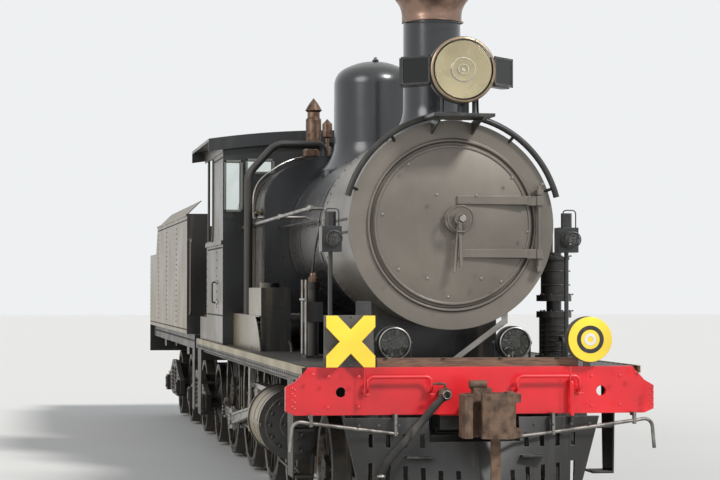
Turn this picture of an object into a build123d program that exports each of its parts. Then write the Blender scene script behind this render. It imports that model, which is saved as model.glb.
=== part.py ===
from build123d import *
import os
from math import asin, cos, radians, sin, sqrt, tan

# A broad-gauge 4-6-0 steam locomotive with its bogie tender, in millimetres.
# Drawing numbers are X from the centre line, S behind the buffer beam's face
# and Z above rail top, so every profile is drawn in those three.

# Frame of the model: +Y runs from the front to the rear, +Z up
LENGTH = 15370               # from the buffer beam's face to the tender's rear beam
FRONT = -LENGTH / 2          # Y of the buffer beam's face
RAIL = 28                    # rail top above the flange tips

# Wheels on the 1600 gauge
BACK_TO_BACK = 1521
TYRE_WIDTH = 140
FLANGE = 28
TYRE_IN = BACK_TO_BACK / 2
TYRE_OUT = TYRE_IN + TYRE_WIDTH
HUB_OUT = TYRE_OUT + 10
PRESS_GAP = 0.3              # film between an axle and the wheels pressed on it
DRIVER_R = 686
BOGIE_R = 419
TENDER_R = 457
DRIVER_AXLES = (4350, 6030, 7710)
MAIN_AXLE = DRIVER_AXLES[1]
BOGIE_PIVOT = 2070
BOGIE_BASE = 1900

# Running gear outside the wheels
CRANK = 305
CYLINDER_X = 1055
CYLINDER_Z = 720
CYLINDER_R = 285
CYLINDER_S = (1680, 2460)
ROD_LENGTH = 2430
PIN_R = 50
COUPLING_X = (922, 977)      # plane of the coupling rods
CAP_X = 995                  # outer end of the crank pins
CONNECTING_X = (1028, 1082)  # plane of the connecting rods
CROSSHEAD_X = (1002, 1108)
BAR_GAP = 175                # slide bars above and below the cylinder's axis
CRANK_ANGLE = {-1: -45, 1: -135}   # degrees from the rear horizontal, by side
ROD_HALF = 48                # half the depth of the coupling rods
EYE_R = 92
PISTON_ROD_R = 35
BAR_S = (2495, 4070)         # slide bars
BAR_X = (1010, 1100)
BAR_DEPTH = 45
HANGER_X = (1128, 1148)      # plate that carries the slide bars' rear ends

# Frames
PLATE_X = (620, 650)
HORN = 150                   # half the gap that an axle box slides in
HORN_TOP = 880
HORN_FOOT = 470
SPRING_X = (572, 612)         # leaf springs over the coupled axle boxes
PLATE_END = 8420
BOARD_Z = (1180, 1230)       # running board
BOARD_X = 1240
BRACKET_S = (2700, 5190, 6870)   # brackets between the frame and the running boards
GUSSET_X = 890               # where the frame's gusset ends and the bracket begins
BRACKET_FOOT = 1140
BEAM_HALF = 1350
BEAM_Z = (890, 1230)
JACK_HOLE = (955, 1053, 36)  # X, Z and radius of the round holes in the beam
PILOT_TOP = 870
PILOT_FOOT = 130
PILOT_NOSE = 420

# Boiler
CENTRE_Z = 2267
SMOKEBOX_R = 765
RING_R = 787
HOOP_R = 828                 # tube round the smokebox front
SMOKEBOX_S = (740, 2200)
RING_S = 690
DOOR_R = 606
HINGE = (662, 628)           # X and S of the smokebox door's hinge pin
BARREL_R = 715
BARREL_S = (2200, 4560)
BAND_S = (2200, 2670, 3800, 4480)
FIREBOX_S = (4560, 6900)
FIREBOX_HALF = 950
FIREBOX_FOOT = 1560
SHOULDER_Z = (2600, 2960)    # where the side starts to curve and where the crown begins
SHOULDER_MID = (868, 2800)   # X and Z on the shoulder's arc
CROWN_EDGE = 640             # X where the crown's arc begins
CROWN_MID = (330, 3042)
CROWN_Z = 3070
GRATE_HALF = 560             # half the width of the fire chamber and the ashpan
FIREHOLE_Z = 1900
CHIMNEY_S = 1440
CHIMNEY_R = 226
CHIMNEY_BORE = 180
CHIMNEY_TOP = 4090
DOME_S = 4050
DOME_R = 366
DOME_TOP = 3874

# Cab
CAB_S = (5900, 7600)
CAB_HALF = 1200
SHEET = 12
FLOOR_Z = (1440, 1480)
WAIST_Z = 2270
EAVES_Z = 3150
SHEET_TOP = 3268             # cab sheets, just under the roof
OPENING_S = 6960             # front of the cab's side opening
ROOF_S = (5830, 7760)
ROOF_HALF = 1350
ROOF_EDGE = 3280             # top of the roof sheet at its edges
ROOF_CROWN = 3382
FASCIA = 127                 # depth of the boards under the roof's front and rear edges

# Tender
TENDER_S = (8620, LENGTH)
TANK_S = (8980, LENGTH)
TANK_HALF = 1300
TANK_Z = (1270, 2650)
REAR_DECK = (14150, 2270)    # S and Z where the tank steps down at the back
COAL_HALF = 1050
FILLER_S = 14800
TENDER_PIVOTS = (10200, 13900)
TENDER_BASE = 1750
SILL_Z = (980, 1270)
DRAWBAR_PIN = 8300           # S of the pin in the engine's drag box
DRAWBAR_Z = (1010, 1070)
COUPLER_Z = 905
COUPLER_REACH = 550
COUPLER_PIN = (165, 175)     # X beside the centre line and distance behind the coupling line


def at(x, s, z):
    """Returns the model point of a drawing point."""
    return (x, FRONT + s, RAIL + z)


def along(x):
    """Returns the plane at X whose axes are S and Z and whose normal is +X."""
    return Plane(at(x, 0, 0), x_dir=(0, 1, 0), z_dir=(1, 0, 0))


def across(s):
    """Returns the plane at S whose axes are X and Z and whose normal points forward."""
    return Plane(at(0, s, 0), x_dir=(1, 0, 0), z_dir=(0, -1, 0))


def level(z):
    """Returns the plane at Z whose axes are X and S and whose normal is up."""
    return Plane(at(0, 0, z))


def pair(side, near, far):
    """Returns the ordered X limits of what reaches from near to far on one side."""
    return sorted((side * near, side * far))


def sheet_x(points, x, mode=Mode.ADD):
    """Adds the outline of (S, Z) points between two X places."""
    with BuildSketch(along(x[0])) as outline:
        Polygon(*points, align=None)
    extrude(outline.sketch, amount=x[1] - x[0], mode=mode)


def sheet_s(points, s, mode=Mode.ADD):
    """Adds the outline of (X, Z) points between two S places."""
    with BuildSketch(across(s[1])) as outline:
        Polygon(*points, align=None)
    extrude(outline.sketch, amount=s[1] - s[0], mode=mode)


def block(x, s, z, mode=Mode.ADD):
    """Adds a rectangular piece given its X, S and Z limits."""
    centre = at((x[0] + x[1]) / 2, (s[0] + s[1]) / 2, (z[0] + z[1]) / 2)
    with Locations(centre):
        Box(x[1] - x[0], s[1] - s[0], z[1] - z[0], mode=mode)


def drum_x(x, s, z, radius, mode=Mode.ADD):
    """Adds a cylinder lying across the engine."""
    with BuildSketch(along(x[0])) as disc:
        with Locations((s, z)):
            Circle(radius)
    extrude(disc.sketch, amount=x[1] - x[0], mode=mode)


def drum_s(x, s, z, radius, mode=Mode.ADD):
    """Adds a cylinder lying along the engine."""
    with BuildSketch(across(s[1])) as disc:
        with Locations((x, z)):
            Circle(radius)
    extrude(disc.sketch, amount=s[1] - s[0], mode=mode)


def drum_z(x, s, z, radius, mode=Mode.ADD):
    """Adds an upright cylinder."""
    with BuildSketch(level(z[0])) as disc:
        with Locations((x, s)):
            Circle(radius)
    extrude(disc.sketch, amount=z[1] - z[0], mode=mode)


def turned_x(points, s, z, mode=Mode.ADD):
    """Turns an outline of (X, radius) points about a line across the engine."""
    with BuildSketch(Plane(at(0, s, z))) as outline:
        Polygon(*points, align=None)
    revolve(outline.sketch, axis=Axis(at(0, s, z), (1, 0, 0)), mode=mode)


def turned_s(points, x, z, mode=Mode.ADD):
    """Turns an outline of (S, radius) points about a line along the engine."""
    with BuildSketch(Plane(at(x, 0, z), x_dir=(0, 1, 0), z_dir=(1, 0, 0))) as outline:
        Polygon(*points, align=None)
    revolve(outline.sketch, axis=Axis(at(x, 0, z), (0, 1, 0)), mode=mode)


def turned_z(points, x, s, mode=Mode.ADD):
    """Turns an outline of (radius, Z) points about an upright line."""
    with BuildSketch(Plane(at(x, s, 0), x_dir=(1, 0, 0), z_dir=(0, -1, 0))) as outline:
        Polygon(*points, align=None)
    revolve(outline.sketch, axis=Axis(at(x, s, 0), (0, 0, 1)), mode=mode)


def pipe(points, radius, bend, mode=Mode.ADD):
    """Adds a round bar or pipe along straight runs with rounded corners."""
    with BuildLine() as route:
        if len(points) == 2:
            Line(*[at(*point) for point in points])
        else:
            FilletPolyline(*[at(*point) for point in points], radius=bend)
    with BuildSketch(Plane(route.line @ 0, z_dir=route.line % 0)) as section:
        Circle(radius)
    sweep(section.sketch, path=route.line, mode=mode)


def firebox_solid(s, foot, mode=Mode.ADD):
    """Adds the square-shouldered firebox section between two S places, down to a foot height."""
    with BuildSketch(across(s[1])) as wrapper:
        with BuildLine():
            Polyline((0, foot), (FIREBOX_HALF, foot), (FIREBOX_HALF, SHOULDER_Z[0]))
            ThreePointArc((FIREBOX_HALF, SHOULDER_Z[0]), SHOULDER_MID, (CROWN_EDGE, SHOULDER_Z[1]))
            ThreePointArc((CROWN_EDGE, SHOULDER_Z[1]), CROWN_MID, (0, CROWN_Z))
            Line((0, CROWN_Z), (0, foot))
        make_face()
        mirror(about=Plane.YZ)
    extrude(wrapper.sketch, amount=s[1] - s[0], mode=mode)


def barrel_solid(mode=Mode.ADD):
    """Adds the boiler barrel with its cladding bands."""
    drum_s(0, BARREL_S, CENTRE_Z, BARREL_R, mode)
    for s in BAND_S:
        drum_s(0, (s, s + 60), CENTRE_Z, BARREL_R + 7, mode)


def spun(points, s, z, turn):
    """Returns (S, Z) places of points along and across a line turned about one place."""
    return [(s + a * cos(turn) - b * sin(turn), z + a * sin(turn) + b * cos(turn)) for a, b in points]


def leaf_spring(x, s, z, half, leaves, thick, camber):
    """Adds a stack of bent leaves between two X places, longest on top, whose ends rise by the camber."""
    bend = (half**2 + camber**2) / (2 * camber)
    for number in range(leaves):
        reach = half * (1 - number / (leaves + 1))
        low = z + thick * (leaves - 1 - number)
        rise = bend - sqrt(bend**2 - reach**2)
        with BuildSketch(along(x[0])) as leaf:
            with BuildLine():
                Line((s - reach, low + rise), (s - reach, low + rise + thick))
                ThreePointArc((s - reach, low + rise + thick), (s, low + thick), (s + reach, low + rise + thick))
                Line((s + reach, low + rise + thick), (s + reach, low + rise))
                ThreePointArc((s + reach, low + rise), (s, low), (s - reach, low + rise))
            make_face()
        extrude(leaf.sketch, amount=x[1] - x[0])


def keep(piece, name):
    """Labels a finished piece and writes it."""
    piece.part.label = name
    export_step(piece.part, "parts/" + name + ".step")


os.makedirs("parts", exist_ok=True)


# Wheels: a tyre with its flange, a rim, a hub and spokes or a disc, turned about X
SPOKE = 0.029                # half a spoke's width at its root, as a share of the wheel's radius


def tyre_profile(radius, rim):
    """Returns the (X, radius) outline of one tyre and rim, flange on the inside."""
    return [
        (TYRE_IN, radius - rim),
        (TYRE_IN, radius + FLANGE - 8),
        (TYRE_IN + 14, radius + FLANGE),
        (TYRE_IN + 34, radius),
        (TYRE_OUT, radius - 5),
        (TYRE_OUT, radius - rim),
    ]


def spoked_wheel(side, s, radius, rim, hub, spokes, phase):
    """Adds one spoked wheel on its side of the axle at S."""
    turned_x([(side * x, r) for x, r in tyre_profile(radius, rim)], s, radius)
    drum_x(pair(side, TYRE_IN - 8, HUB_OUT), s, radius, hub)
    root, tip, thick = hub - 15, radius - rim + 6, SPOKE * radius
    for number in range(spokes):
        turn = radians(phase + 360 * number / spokes)
        spoke = spun([(root, thick), (tip, 0.68 * thick), (tip, -0.68 * thick), (root, -thick)], s, radius, turn)
        sheet_x(spoke, pair(side, TYRE_IN + 35, TYRE_OUT - 25))


def pressed_axle(s, radius, journal, half):
    """Bores both hubs at the wheels' radius and adds the axle that they are pressed on."""
    for side in (-1, 1):
        drum_x(pair(side, TYRE_IN - 25, HUB_OUT + 1), s, radius, journal + PRESS_GAP, Mode.SUBTRACT)
    drum_x((-half, half), s, radius, journal)


def crank_pin_place(side, s):
    """Returns S and Z of the crank pin of the axle at S, on one side."""
    turn = radians(CRANK_ANGLE[side])
    return s + CRANK * cos(turn), DRIVER_R + CRANK * sin(turn)


def driving_wheelset(name, s, weight):
    """Writes a coupled axle with spoked wheels, crank webs, pins and balance weights."""
    with BuildPart() as axle:
        for side in (-1, 1):
            turn = radians(CRANK_ANGLE[side])
            spoked_wheel(side, s, DRIVER_R, 95, 150, 15, CRANK_ANGLE[side])
            # The crank web tapers from the hub to the boss of the pin
            pin_s, pin_z = crank_pin_place(side, s)
            web = pair(side, TYRE_IN + 30, HUB_OUT)
            sheet_x(spun([(0, 142), (CRANK, 98), (CRANK, -98), (0, -142)], s, DRIVER_R, turn), web)
            drum_x(web, pin_s, pin_z, 105)
            drum_x(pair(side, TYRE_OUT, COUPLING_X[1] + 2), pin_s, pin_z, PIN_R)
            drum_x(pair(side, COUPLING_X[1] + 2, CAP_X), pin_s, pin_z, 68)
            # The balance weight fills the rim opposite to the crank
            inside = DRIVER_R - 92
            with BuildSketch(along(side * (TYRE_IN + 45))) as crescent:
                with Locations((s, DRIVER_R)):
                    Circle(inside)
                with Locations((s + weight * cos(turn), DRIVER_R + weight * sin(turn))):
                    Circle(inside - 10, mode=Mode.SUBTRACT)
            extrude(crescent.sketch, amount=side * 55)
        pressed_axle(s, DRIVER_R, 85, HUB_OUT)
    keep(axle, name)


# Name, S and how far the balance weight's inner edge is moved
for place, s, weight in (("leading", DRIVER_AXLES[0], 120), ("main", MAIN_AXLE, 190),
                         ("trailing", DRIVER_AXLES[2], 120)):
    driving_wheelset(place + "_driving_wheels", s, weight)


def bogie_wheelset(name, s):
    """Writes an axle of the leading bogie with spoked wheels."""
    with BuildPart() as axle:
        for side in (-1, 1):
            spoked_wheel(side, s, BOGIE_R, 75, 105, 10, 0)
        pressed_axle(s, BOGIE_R, 70, HUB_OUT)
    keep(axle, name)


for place, offset in (("front", -BOGIE_BASE / 2), ("rear", BOGIE_BASE / 2)):
    bogie_wheelset("bogie_" + place + "_wheels", BOGIE_PIVOT + offset)


def tender_wheelset(name, s):
    """Writes a tender axle with dished disc wheels and outside journals."""
    with BuildPart() as axle:
        for side in (-1, 1):
            turned_x([(side * x, r) for x, r in tyre_profile(TENDER_R, 70)], s, TENDER_R)
            disc = [(TYRE_IN + 95, 50), (TYRE_IN + 30, TENDER_R - 65), (TYRE_IN + 65, TENDER_R - 65),
                    (TYRE_OUT + 5, 110), (TYRE_OUT + 5, 50)]
            turned_x([(side * x, r) for x, r in disc], s, TENDER_R)
            drum_x(pair(side, TYRE_IN - 20, TYRE_IN + 120), s, TENDER_R, 110)
        pressed_axle(s, TENDER_R, 62, 1085)
    keep(axle, name)


TENDER_AXLES = [pivot + offset for pivot in TENDER_PIVOTS for offset in (-TENDER_BASE / 2, TENDER_BASE / 2)]
for number, s in enumerate(TENDER_AXLES, start=1):
    tender_wheelset("tender_wheels_" + str(number), s)


# Coupling rods: one jointed rod each side, level, with an eye and an oil box on each crank pin
def coupling_rod(name, side):
    """Writes the coupling rod of one side."""
    low, high = pair(side, COUPLING_X[0], COUPLING_X[1])
    pins = [crank_pin_place(side, s)[0] for s in DRIVER_AXLES]
    z = crank_pin_place(side, MAIN_AXLE)[1]
    joint = pins[1] + 260
    with BuildPart() as rod:
        sheet_x([(pins[0], z - ROD_HALF), (pins[2], z - ROD_HALF), (pins[2], z + ROD_HALF), (pins[0], z + ROD_HALF)],
                (low, high))
        # Fluted face between the eyes
        for first, last in ((pins[0] + 150, pins[1] - 150), (joint + 110, pins[2] - 150)):
            sheet_x([(first, z - 26), (last, z - 26), (last, z + 26), (first, z + 26)],
                    pair(side, COUPLING_X[1] - 14, COUPLING_X[1] + 1), Mode.SUBTRACT)
        for s in pins:
            drum_x((low, high), s, z, EYE_R)
            block((low + 8, high - 8), (s - 32, s + 32), (z + EYE_R - 12, z + EYE_R + 30))
        # The joint that lets the trailing axle rise and fall on its springs
        drum_x((low, high), joint, z, 66)
        drum_x(pair(side, COUPLING_X[1] - 1, COUPLING_X[1] + 7), joint, z, 30)
        for s in pins:
            drum_x((low - 1, high + 1), s, z, PIN_R + 3, Mode.SUBTRACT)
    keep(rod, name)


# Crosshead and connecting rod, whose big end is open at the crank pin
def crosshead_place(side):
    """Returns S of the crosshead's pin with the crank at its place at rest."""
    pin_s, pin_z = crank_pin_place(side, MAIN_AXLE)
    return pin_s - sqrt(ROD_LENGTH**2 - (pin_z - CYLINDER_Z) ** 2)


def crosshead(name, side):
    """Writes a crosshead with its slippers and its piston rod."""
    s = crosshead_place(side)
    low, high = pair(side, CROSSHEAD_X[0], CROSSHEAD_X[1])
    slot_low, slot_high = pair(side, CONNECTING_X[0] - 6, CONNECTING_X[1] + 6)
    reach = BAR_GAP - 3
    with BuildPart() as head:
        # Half of the outline, from the rear of the lower slipper to the piston rod's socket
        half = [(130, -reach), (130, -reach + 40), (80, -75), (80, 75), (130, reach - 40), (130, reach),
                (-130, reach), (-130, reach - 40), (-100, 60), (-150, 50), (-150, -50), (-100, -60),
                (-130, -reach + 40), (-130, -reach)]
        sheet_x([(s + a, CYLINDER_Z + b) for a, b in half], (low, high))
        block((slot_low, slot_high), (s - 85, s + 200), (CYLINDER_Z - 130, CYLINDER_Z + 130), Mode.SUBTRACT)
        drum_x((slot_low, slot_high), s, CYLINDER_Z, 35)
        drum_x(pair(side, CROSSHEAD_X[1], CROSSHEAD_X[1] + 12), s, CYLINDER_Z, 58)
        drum_s(side * CYLINDER_X, (s - 1375, s - 140), CYLINDER_Z, PISTON_ROD_R)
    keep(head, name)


def connecting_rod(name, side):
    """Writes a connecting rod between the crosshead's pin and the main crank pin."""
    s = crosshead_place(side)
    pin_s, pin_z = crank_pin_place(side, MAIN_AXLE)
    lean = asin((pin_z - CYLINDER_Z) / ROD_LENGTH)
    low, high = pair(side, CONNECTING_X[0], CONNECTING_X[1])
    end = ROD_LENGTH
    # Outline along and across the rod, its X limits and whether it is added or cut
    pieces = (
        ([(0, -38), (end, -55), (end, 55), (0, 38)], (low, high), Mode.ADD),
        ([(170, -20), (end - 210, -30), (end - 210, 30), (170, 20)],
         pair(side, CONNECTING_X[1] - 14, CONNECTING_X[1] + 1), Mode.SUBTRACT),
        # Strap, cotter and oil cup of the big end
        ([(end - 140, -95), (end + 100, -95), (end + 120, -75), (end + 120, 75), (end + 100, 95), (end - 140, 95)],
         (low, high), Mode.ADD),
        ([(end - 118, -118), (end - 92, -118), (end - 86, 122), (end - 122, 122)], (low + 18, high - 18), Mode.ADD),
        ([(end - 26, 90), (end + 26, 90), (end + 20, 126), (end - 20, 126)], (low + 12, high - 12), Mode.ADD),
    )
    with BuildPart() as rod:
        for outline, x, mode in pieces:
            sheet_x(spun(outline, s, CYLINDER_Z, lean), x, mode)
        drum_x((low, high), s, CYLINDER_Z, 70)
        drum_x((low - 1, high + 1), s, CYLINDER_Z, 37, Mode.SUBTRACT)
        # The crank pin's outer end, carried by the brasses
        drum_x(pair(side, CAP_X + 9, CONNECTING_X[1] + 16), pin_s, pin_z, 62)
    keep(rod, name)


for word, side in (("right", -1), ("left", 1)):
    coupling_rod("coupling_rod_" + word, side)
    crosshead("crosshead_" + word, side)
    connecting_rod("connecting_rod_" + word, side)


# Main frame plates with horn gaps and lightening holes, stretchers, brackets and the bogie's centre
with BuildPart() as frame:
    inner = PLATE_X[0]
    outline = [(40, 930), (420, 760), (800, 760), (1000, 800), (3300, 800), (3620, HORN_FOOT)]
    for s in DRIVER_AXLES:
        outline += [(s - HORN, HORN_FOOT), (s - HORN, HORN_TOP), (s + HORN, HORN_TOP), (s + HORN, HORN_FOOT)]
    outline += [(8000, HORN_FOOT), (PLATE_END, 640), (PLATE_END, BOARD_Z[0]), (40, BOARD_Z[0])]
    for side in (-1, 1):
        sheet_x(outline, pair(side, PLATE_X[0], PLATE_X[1]))
        # S, Z and radius of the lightening holes
        for s, z, radius in ((2950, 990, 110), (5190, 780, 130), (6740, 780, 120)):
            drum_x(pair(side, PLATE_X[0] - 1, PLATE_X[1] + 1), s, z, radius, Mode.SUBTRACT)
        # Gussets behind the wheels carry the brackets under the running board
        for s in BRACKET_S:
            sheet_s([(side * (PLATE_X[1] - 5), BOARD_Z[0]), (side * GUSSET_X, BOARD_Z[0]),
                     (side * GUSSET_X, BRACKET_FOOT), (side * (PLATE_X[1] - 5), 1000)], (s - 6, s + 6))
        # Horn stays close the gaps below the axle boxes
        for s in DRIVER_AXLES:
            block(pair(side, 612, 658), (s - HORN - 60, s + HORN + 60), (HORN_FOOT - 30, HORN_FOOT))
    # S and Z limits of the stretchers
    for s0, s1, z0, z1 in ((850, 880, 820, 1180), (1750, 2390, 860, 900), (3300, 3330, 700, 1180),
                           (6500, 6530, 520, 880), (6950, 6980, 520, 960), (8380, 8410, 660, 975)):
        block((-inner, inner), (s0, s1), (z0, z1))
    # Bogie centre: a cast box with its bearing plate
    block((-260, 260), (1750, 2390), (800, 862))
    # Drag box for the tender's drawbar
    for s0, s1, z0, z1 in ((8160, 8380, 930, 975), (8160, 8380, 1100, 1140), (8120, 8160, 930, 1140)):
        block((-inner, inner), (s0, s1), (z0, z1))
keep(frame, "frame")

# Brackets under the running boards, shallow where the rods pass
with BuildPart() as brackets:
    for s in BRACKET_S:
        for side in (-1, 1):
            block(pair(side, GUSSET_X, 1215), (s - 6, s + 6), (BRACKET_FOOT, BOARD_Z[0]))
keep(brackets, "board_brackets")

# Axle boxes in the horn gaps, each under a leaf spring hung from the frame plate
with BuildPart() as axleboxes:
    top = DRIVER_R + HORN
    for s in DRIVER_AXLES:
        for side in (-1, 1):
            block(pair(side, 565, 690), (s - HORN, s + HORN), (DRIVER_R - 140, top))
            drum_x(pair(side, 560, 695), s, DRIVER_R, 88, Mode.SUBTRACT)
            leaf_spring(pair(side, SPRING_X[0], SPRING_X[1]), s, top + 10, 400, 5, 14, 36)
            block(pair(side, SPRING_X[0] - 4, SPRING_X[1] + 4), (s - 45, s + 45), (top - 1, top + 92))
            for end in (s - 375, s + 375):
                block(pair(side, 594, 608), (end - 12, end + 12), (860, 1015))
                block(pair(side, 594, PLATE_X[0]), (end - 20, end + 20), (985, 1015))
keep(axleboxes, "axleboxes")

# Buffer beam, chamfered at its top corners, with its end plates, grab irons and a pipe on its face
with BuildPart() as beam:
    sheet_s([(-1280, BEAM_Z[0]), (1280, BEAM_Z[0]), (1280, 1130), (1190, BEAM_Z[1]),
             (-1190, BEAM_Z[1]), (-1280, 1130)], (0, 40))
    for side in (-1, 1):
        drum_s(side * JACK_HOLE[0], (-1, 41), JACK_HOLE[1], JACK_HOLE[2], Mode.SUBTRACT)
        sheet_s([(side * 1280, BEAM_Z[0]), (side * BEAM_HALF, BEAM_Z[0] + 30), (side * BEAM_HALF, 1090),
                 (side * 1280, 1130)], (0, 60))
        pipe([(side * 775, 5, 1060), (side * 775, -70, 1060), (side * 775, -70, 1163), (side * 312, -70, 1163),
              (side * 312, -70, 1060), (side * 312, 5, 1060)], 13, 45)
        for x in (775, 312):
            drum_s(side * x, (-12, 1), 1060, 32)
    pipe([(722, 5, 1132), (722, -50, 1132), (722, -50, 811)], 16, 30)
    # Draw gear pocket behind the coupler
    block((-230, 230), (40, 300), (780, 1130))
keep(beam, "buffer_beam")

# Running boards on both sides, joined by the front deck
with BuildPart() as boards:
    block((-BOARD_X, BOARD_X), (40, PLATE_END), BOARD_Z)
    block((-655, 655), (760, PLATE_END - 60), (BOARD_Z[0] - 1, BOARD_Z[1] + 1), Mode.SUBTRACT)
    for side in (-1, 1):
        for s in DRIVER_AXLES:
            block(pair(side, 715, 1000), (s - 570, s + 570),
                  (BOARD_Z[0] - 1, BOARD_Z[1] + 1), Mode.SUBTRACT)
        # Valance under the outer edge
        block(pair(side, BOARD_X - 15, BOARD_X), (40, PLATE_END), (BOARD_Z[0] - 50, BOARD_Z[0]))
        # Steps at the front and behind the cab: a folded hanger with two treads, by S and width
        for s, width in ((700, 260), (8210, 320)):
            sheet_x([(s - width / 2, 400), (s + width / 2, 400), (s + width / 2 + 40, 1130),
                     (s - width / 2 - 40, 1130)], pair(side, 1210, 1222))
            for z in (400, 740):
                block(pair(side, 1060, 1222), (s - width / 2, s + width / 2), (z, z + 14))
            block(pair(side, 1195, 1222), (s - 60, s + 60), (1130, BOARD_Z[0]))
keep(boards, "running_boards")

with BuildPart() as plank:
    block((-690, 790), (20, 180), (BOARD_Z[1], BOARD_Z[1] + 60))
keep(plank, "deck_plank")

# Pilot: a shallow V of plate with two rows of upright slots and two small steps
with BuildPart() as pilot:
    with BuildSketch(level(PILOT_FOOT)) as foot:
        Polygon((-760, 60), (0, 60 - PILOT_NOSE), (760, 60), (760, 100), (0, 100 - PILOT_NOSE), (-760, 100),
                align=None)
    with BuildSketch(level(PILOT_TOP)) as top:
        Polygon((-940, 0), (0, -60), (940, 0), (940, 40), (0, -20), (-940, 40), align=None)
    loft([foot.sketch, top.sketch])
    for side in (-1, 1):
        for column in range(6):
            x = side * (140 + 120 * column)
            rows = ((200, 500 + 10 * column), (660, 755)) if column > 1 else ((200, 500),)
            for z in rows:
                block((x - 17, x + 17), (-500, 130), z, Mode.SUBTRACT)
        block(pair(side, 600, 640), (20, 90), (500, BEAM_Z[0]))
        block(pair(side, 330, 510), (-170, -40), (592, 604))
    # Dummy plug that parks the brake hose's end
    block((-720, -680), (-155, 20), (385, 400))
    # Notch for the coupler
    block((-330, 330), (-220, 110), (700, 900), Mode.SUBTRACT)
keep(pilot, "pilot")


# Couplers: a cast head with a guard arm and two lugs, between which the knuckle turns on its pin
def coupling_line(s_face, heading):
    """Returns the function from a reach behind the coupling line to S; heading is -1 at the front."""
    return lambda reach: s_face - heading * reach


def coupler(name, s_face, heading):
    """Writes a coupler body: shank, head, guard arm and lugs."""
    y = coupling_line(s_face, heading)
    pin_x = -heading * COUPLER_PIN[0]
    with BuildPart() as body:
        block((-75, 75), sorted((y(260), y(COUPLER_REACH))), (COUPLER_Z - 75, COUPLER_Z + 75))
        outline = [(-90, 340), (-170, 230), (-185, 60), (-175, 12), (-155, 0), (-120, 12), (-108, 115), (-50, 150),
                   (80, 150), (230, 240), (110, 340)]
        with BuildSketch(level(COUPLER_Z - 150)) as head:
            Polygon(*[(-heading * x, y(r)) for x, r in outline], align=None)
        extrude(head.sketch, amount=300)
        drum_z(pin_x, y(COUPLER_PIN[1]), (COUPLER_Z - 150, COUPLER_Z + 150), 95)
        block(sorted((-heading * 55, -heading * 275)), sorted((y(-5), y(262))),
              (COUPLER_Z - 90, COUPLER_Z + 90), Mode.SUBTRACT)
        drum_z(pin_x, y(COUPLER_PIN[1]), (COUPLER_Z - 165, COUPLER_Z + 165), 20)
        # Lock lifter on top and the hanging strap below
        block(sorted((heading * 70, -heading * 60)), sorted((y(205), y(300))), (COUPLER_Z + 149, COUPLER_Z + 190))
        drum_x(sorted((heading * 90, -heading * 30)), y(250), COUPLER_Z + 212, 30)
        block(sorted((-heading * 50, -heading * 118)), sorted((y(180), y(205))), (430, COUPLER_Z - 149))
    keep(body, name)


def knuckle(name, s_face, heading):
    """Writes the coupler's pivoted knuckle, closed at rest; its nose is taller than its hub."""
    y = coupling_line(s_face, heading)
    pin_x = -heading * COUPLER_PIN[0]
    with BuildPart() as jaw:
        outline = [(225, 175), (214, 125), (196, 62), (160, 16), (95, 0), (5, 10), (-46, 36), (-50, 72), (-22, 94),
                   (55, 100), (84, 130), (95, 190), (112, 232)]
        places = [(-heading * x, y(r)) for x, r in outline]
        with BuildSketch(level(COUPLER_Z - 155)) as nose:
            Polygon(*places, align=None)
        extrude(nose.sketch, amount=310)
        # Above and below the hub the nose is cut back clear of the lugs
        for z0, z1 in ((-156, -84), (84, 156)):
            drum_z(pin_x, y(COUPLER_PIN[1]), (COUPLER_Z + z0, COUPLER_Z + z1), 105, Mode.SUBTRACT)
        drum_z(pin_x, y(COUPLER_PIN[1]), (COUPLER_Z - 85, COUPLER_Z + 85), 23, Mode.SUBTRACT)
    keep(jaw, name)


for place, s_face, heading in (("front", -COUPLER_REACH, -1), ("rear", LENGTH + COUPLER_REACH, 1)):
    coupler(place + "_coupler", s_face, heading)
    knuckle(place + "_knuckle", s_face, heading)

# Smokebox: hollow drum, front ring plate with the door's opening, and the hinge post
STRAPS = (CENTRE_Z - 215, CENTRE_Z + 185)
with BuildPart() as smokebox:
    drum_s(0, SMOKEBOX_S, CENTRE_Z, SMOKEBOX_R)
    drum_s(0, (RING_S, RING_S + 60), CENTRE_Z, RING_R)
    drum_s(0, (RING_S + 30, SMOKEBOX_S[1] - 30), CENTRE_Z, SMOKEBOX_R - 16, Mode.SUBTRACT)
    drum_s(0, (RING_S - 1, RING_S + 61), CENTRE_Z, DOOR_R - 36, Mode.SUBTRACT)
    turned_s([(RING_S - 22, 632), (RING_S, 620), (RING_S, 655), (RING_S - 22, 645)], 0, CENTRE_Z)
    for z in (CENTRE_Z - 330, CENTRE_Z + 250):
        block((HINGE[0] - 22, HINGE[0] + 22), (HINGE[1] - 22, RING_S + 2), (z - 20, z + 20))
    drum_z(HINGE[0], HINGE[1], (CENTRE_Z - 350, CENTRE_Z + 300), 16)
    drum_z(0, CHIMNEY_S, (CENTRE_Z, CENTRE_Z + SMOKEBOX_R + 10), CHIMNEY_BORE, Mode.SUBTRACT)
keep(smokebox, "smokebox")

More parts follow.
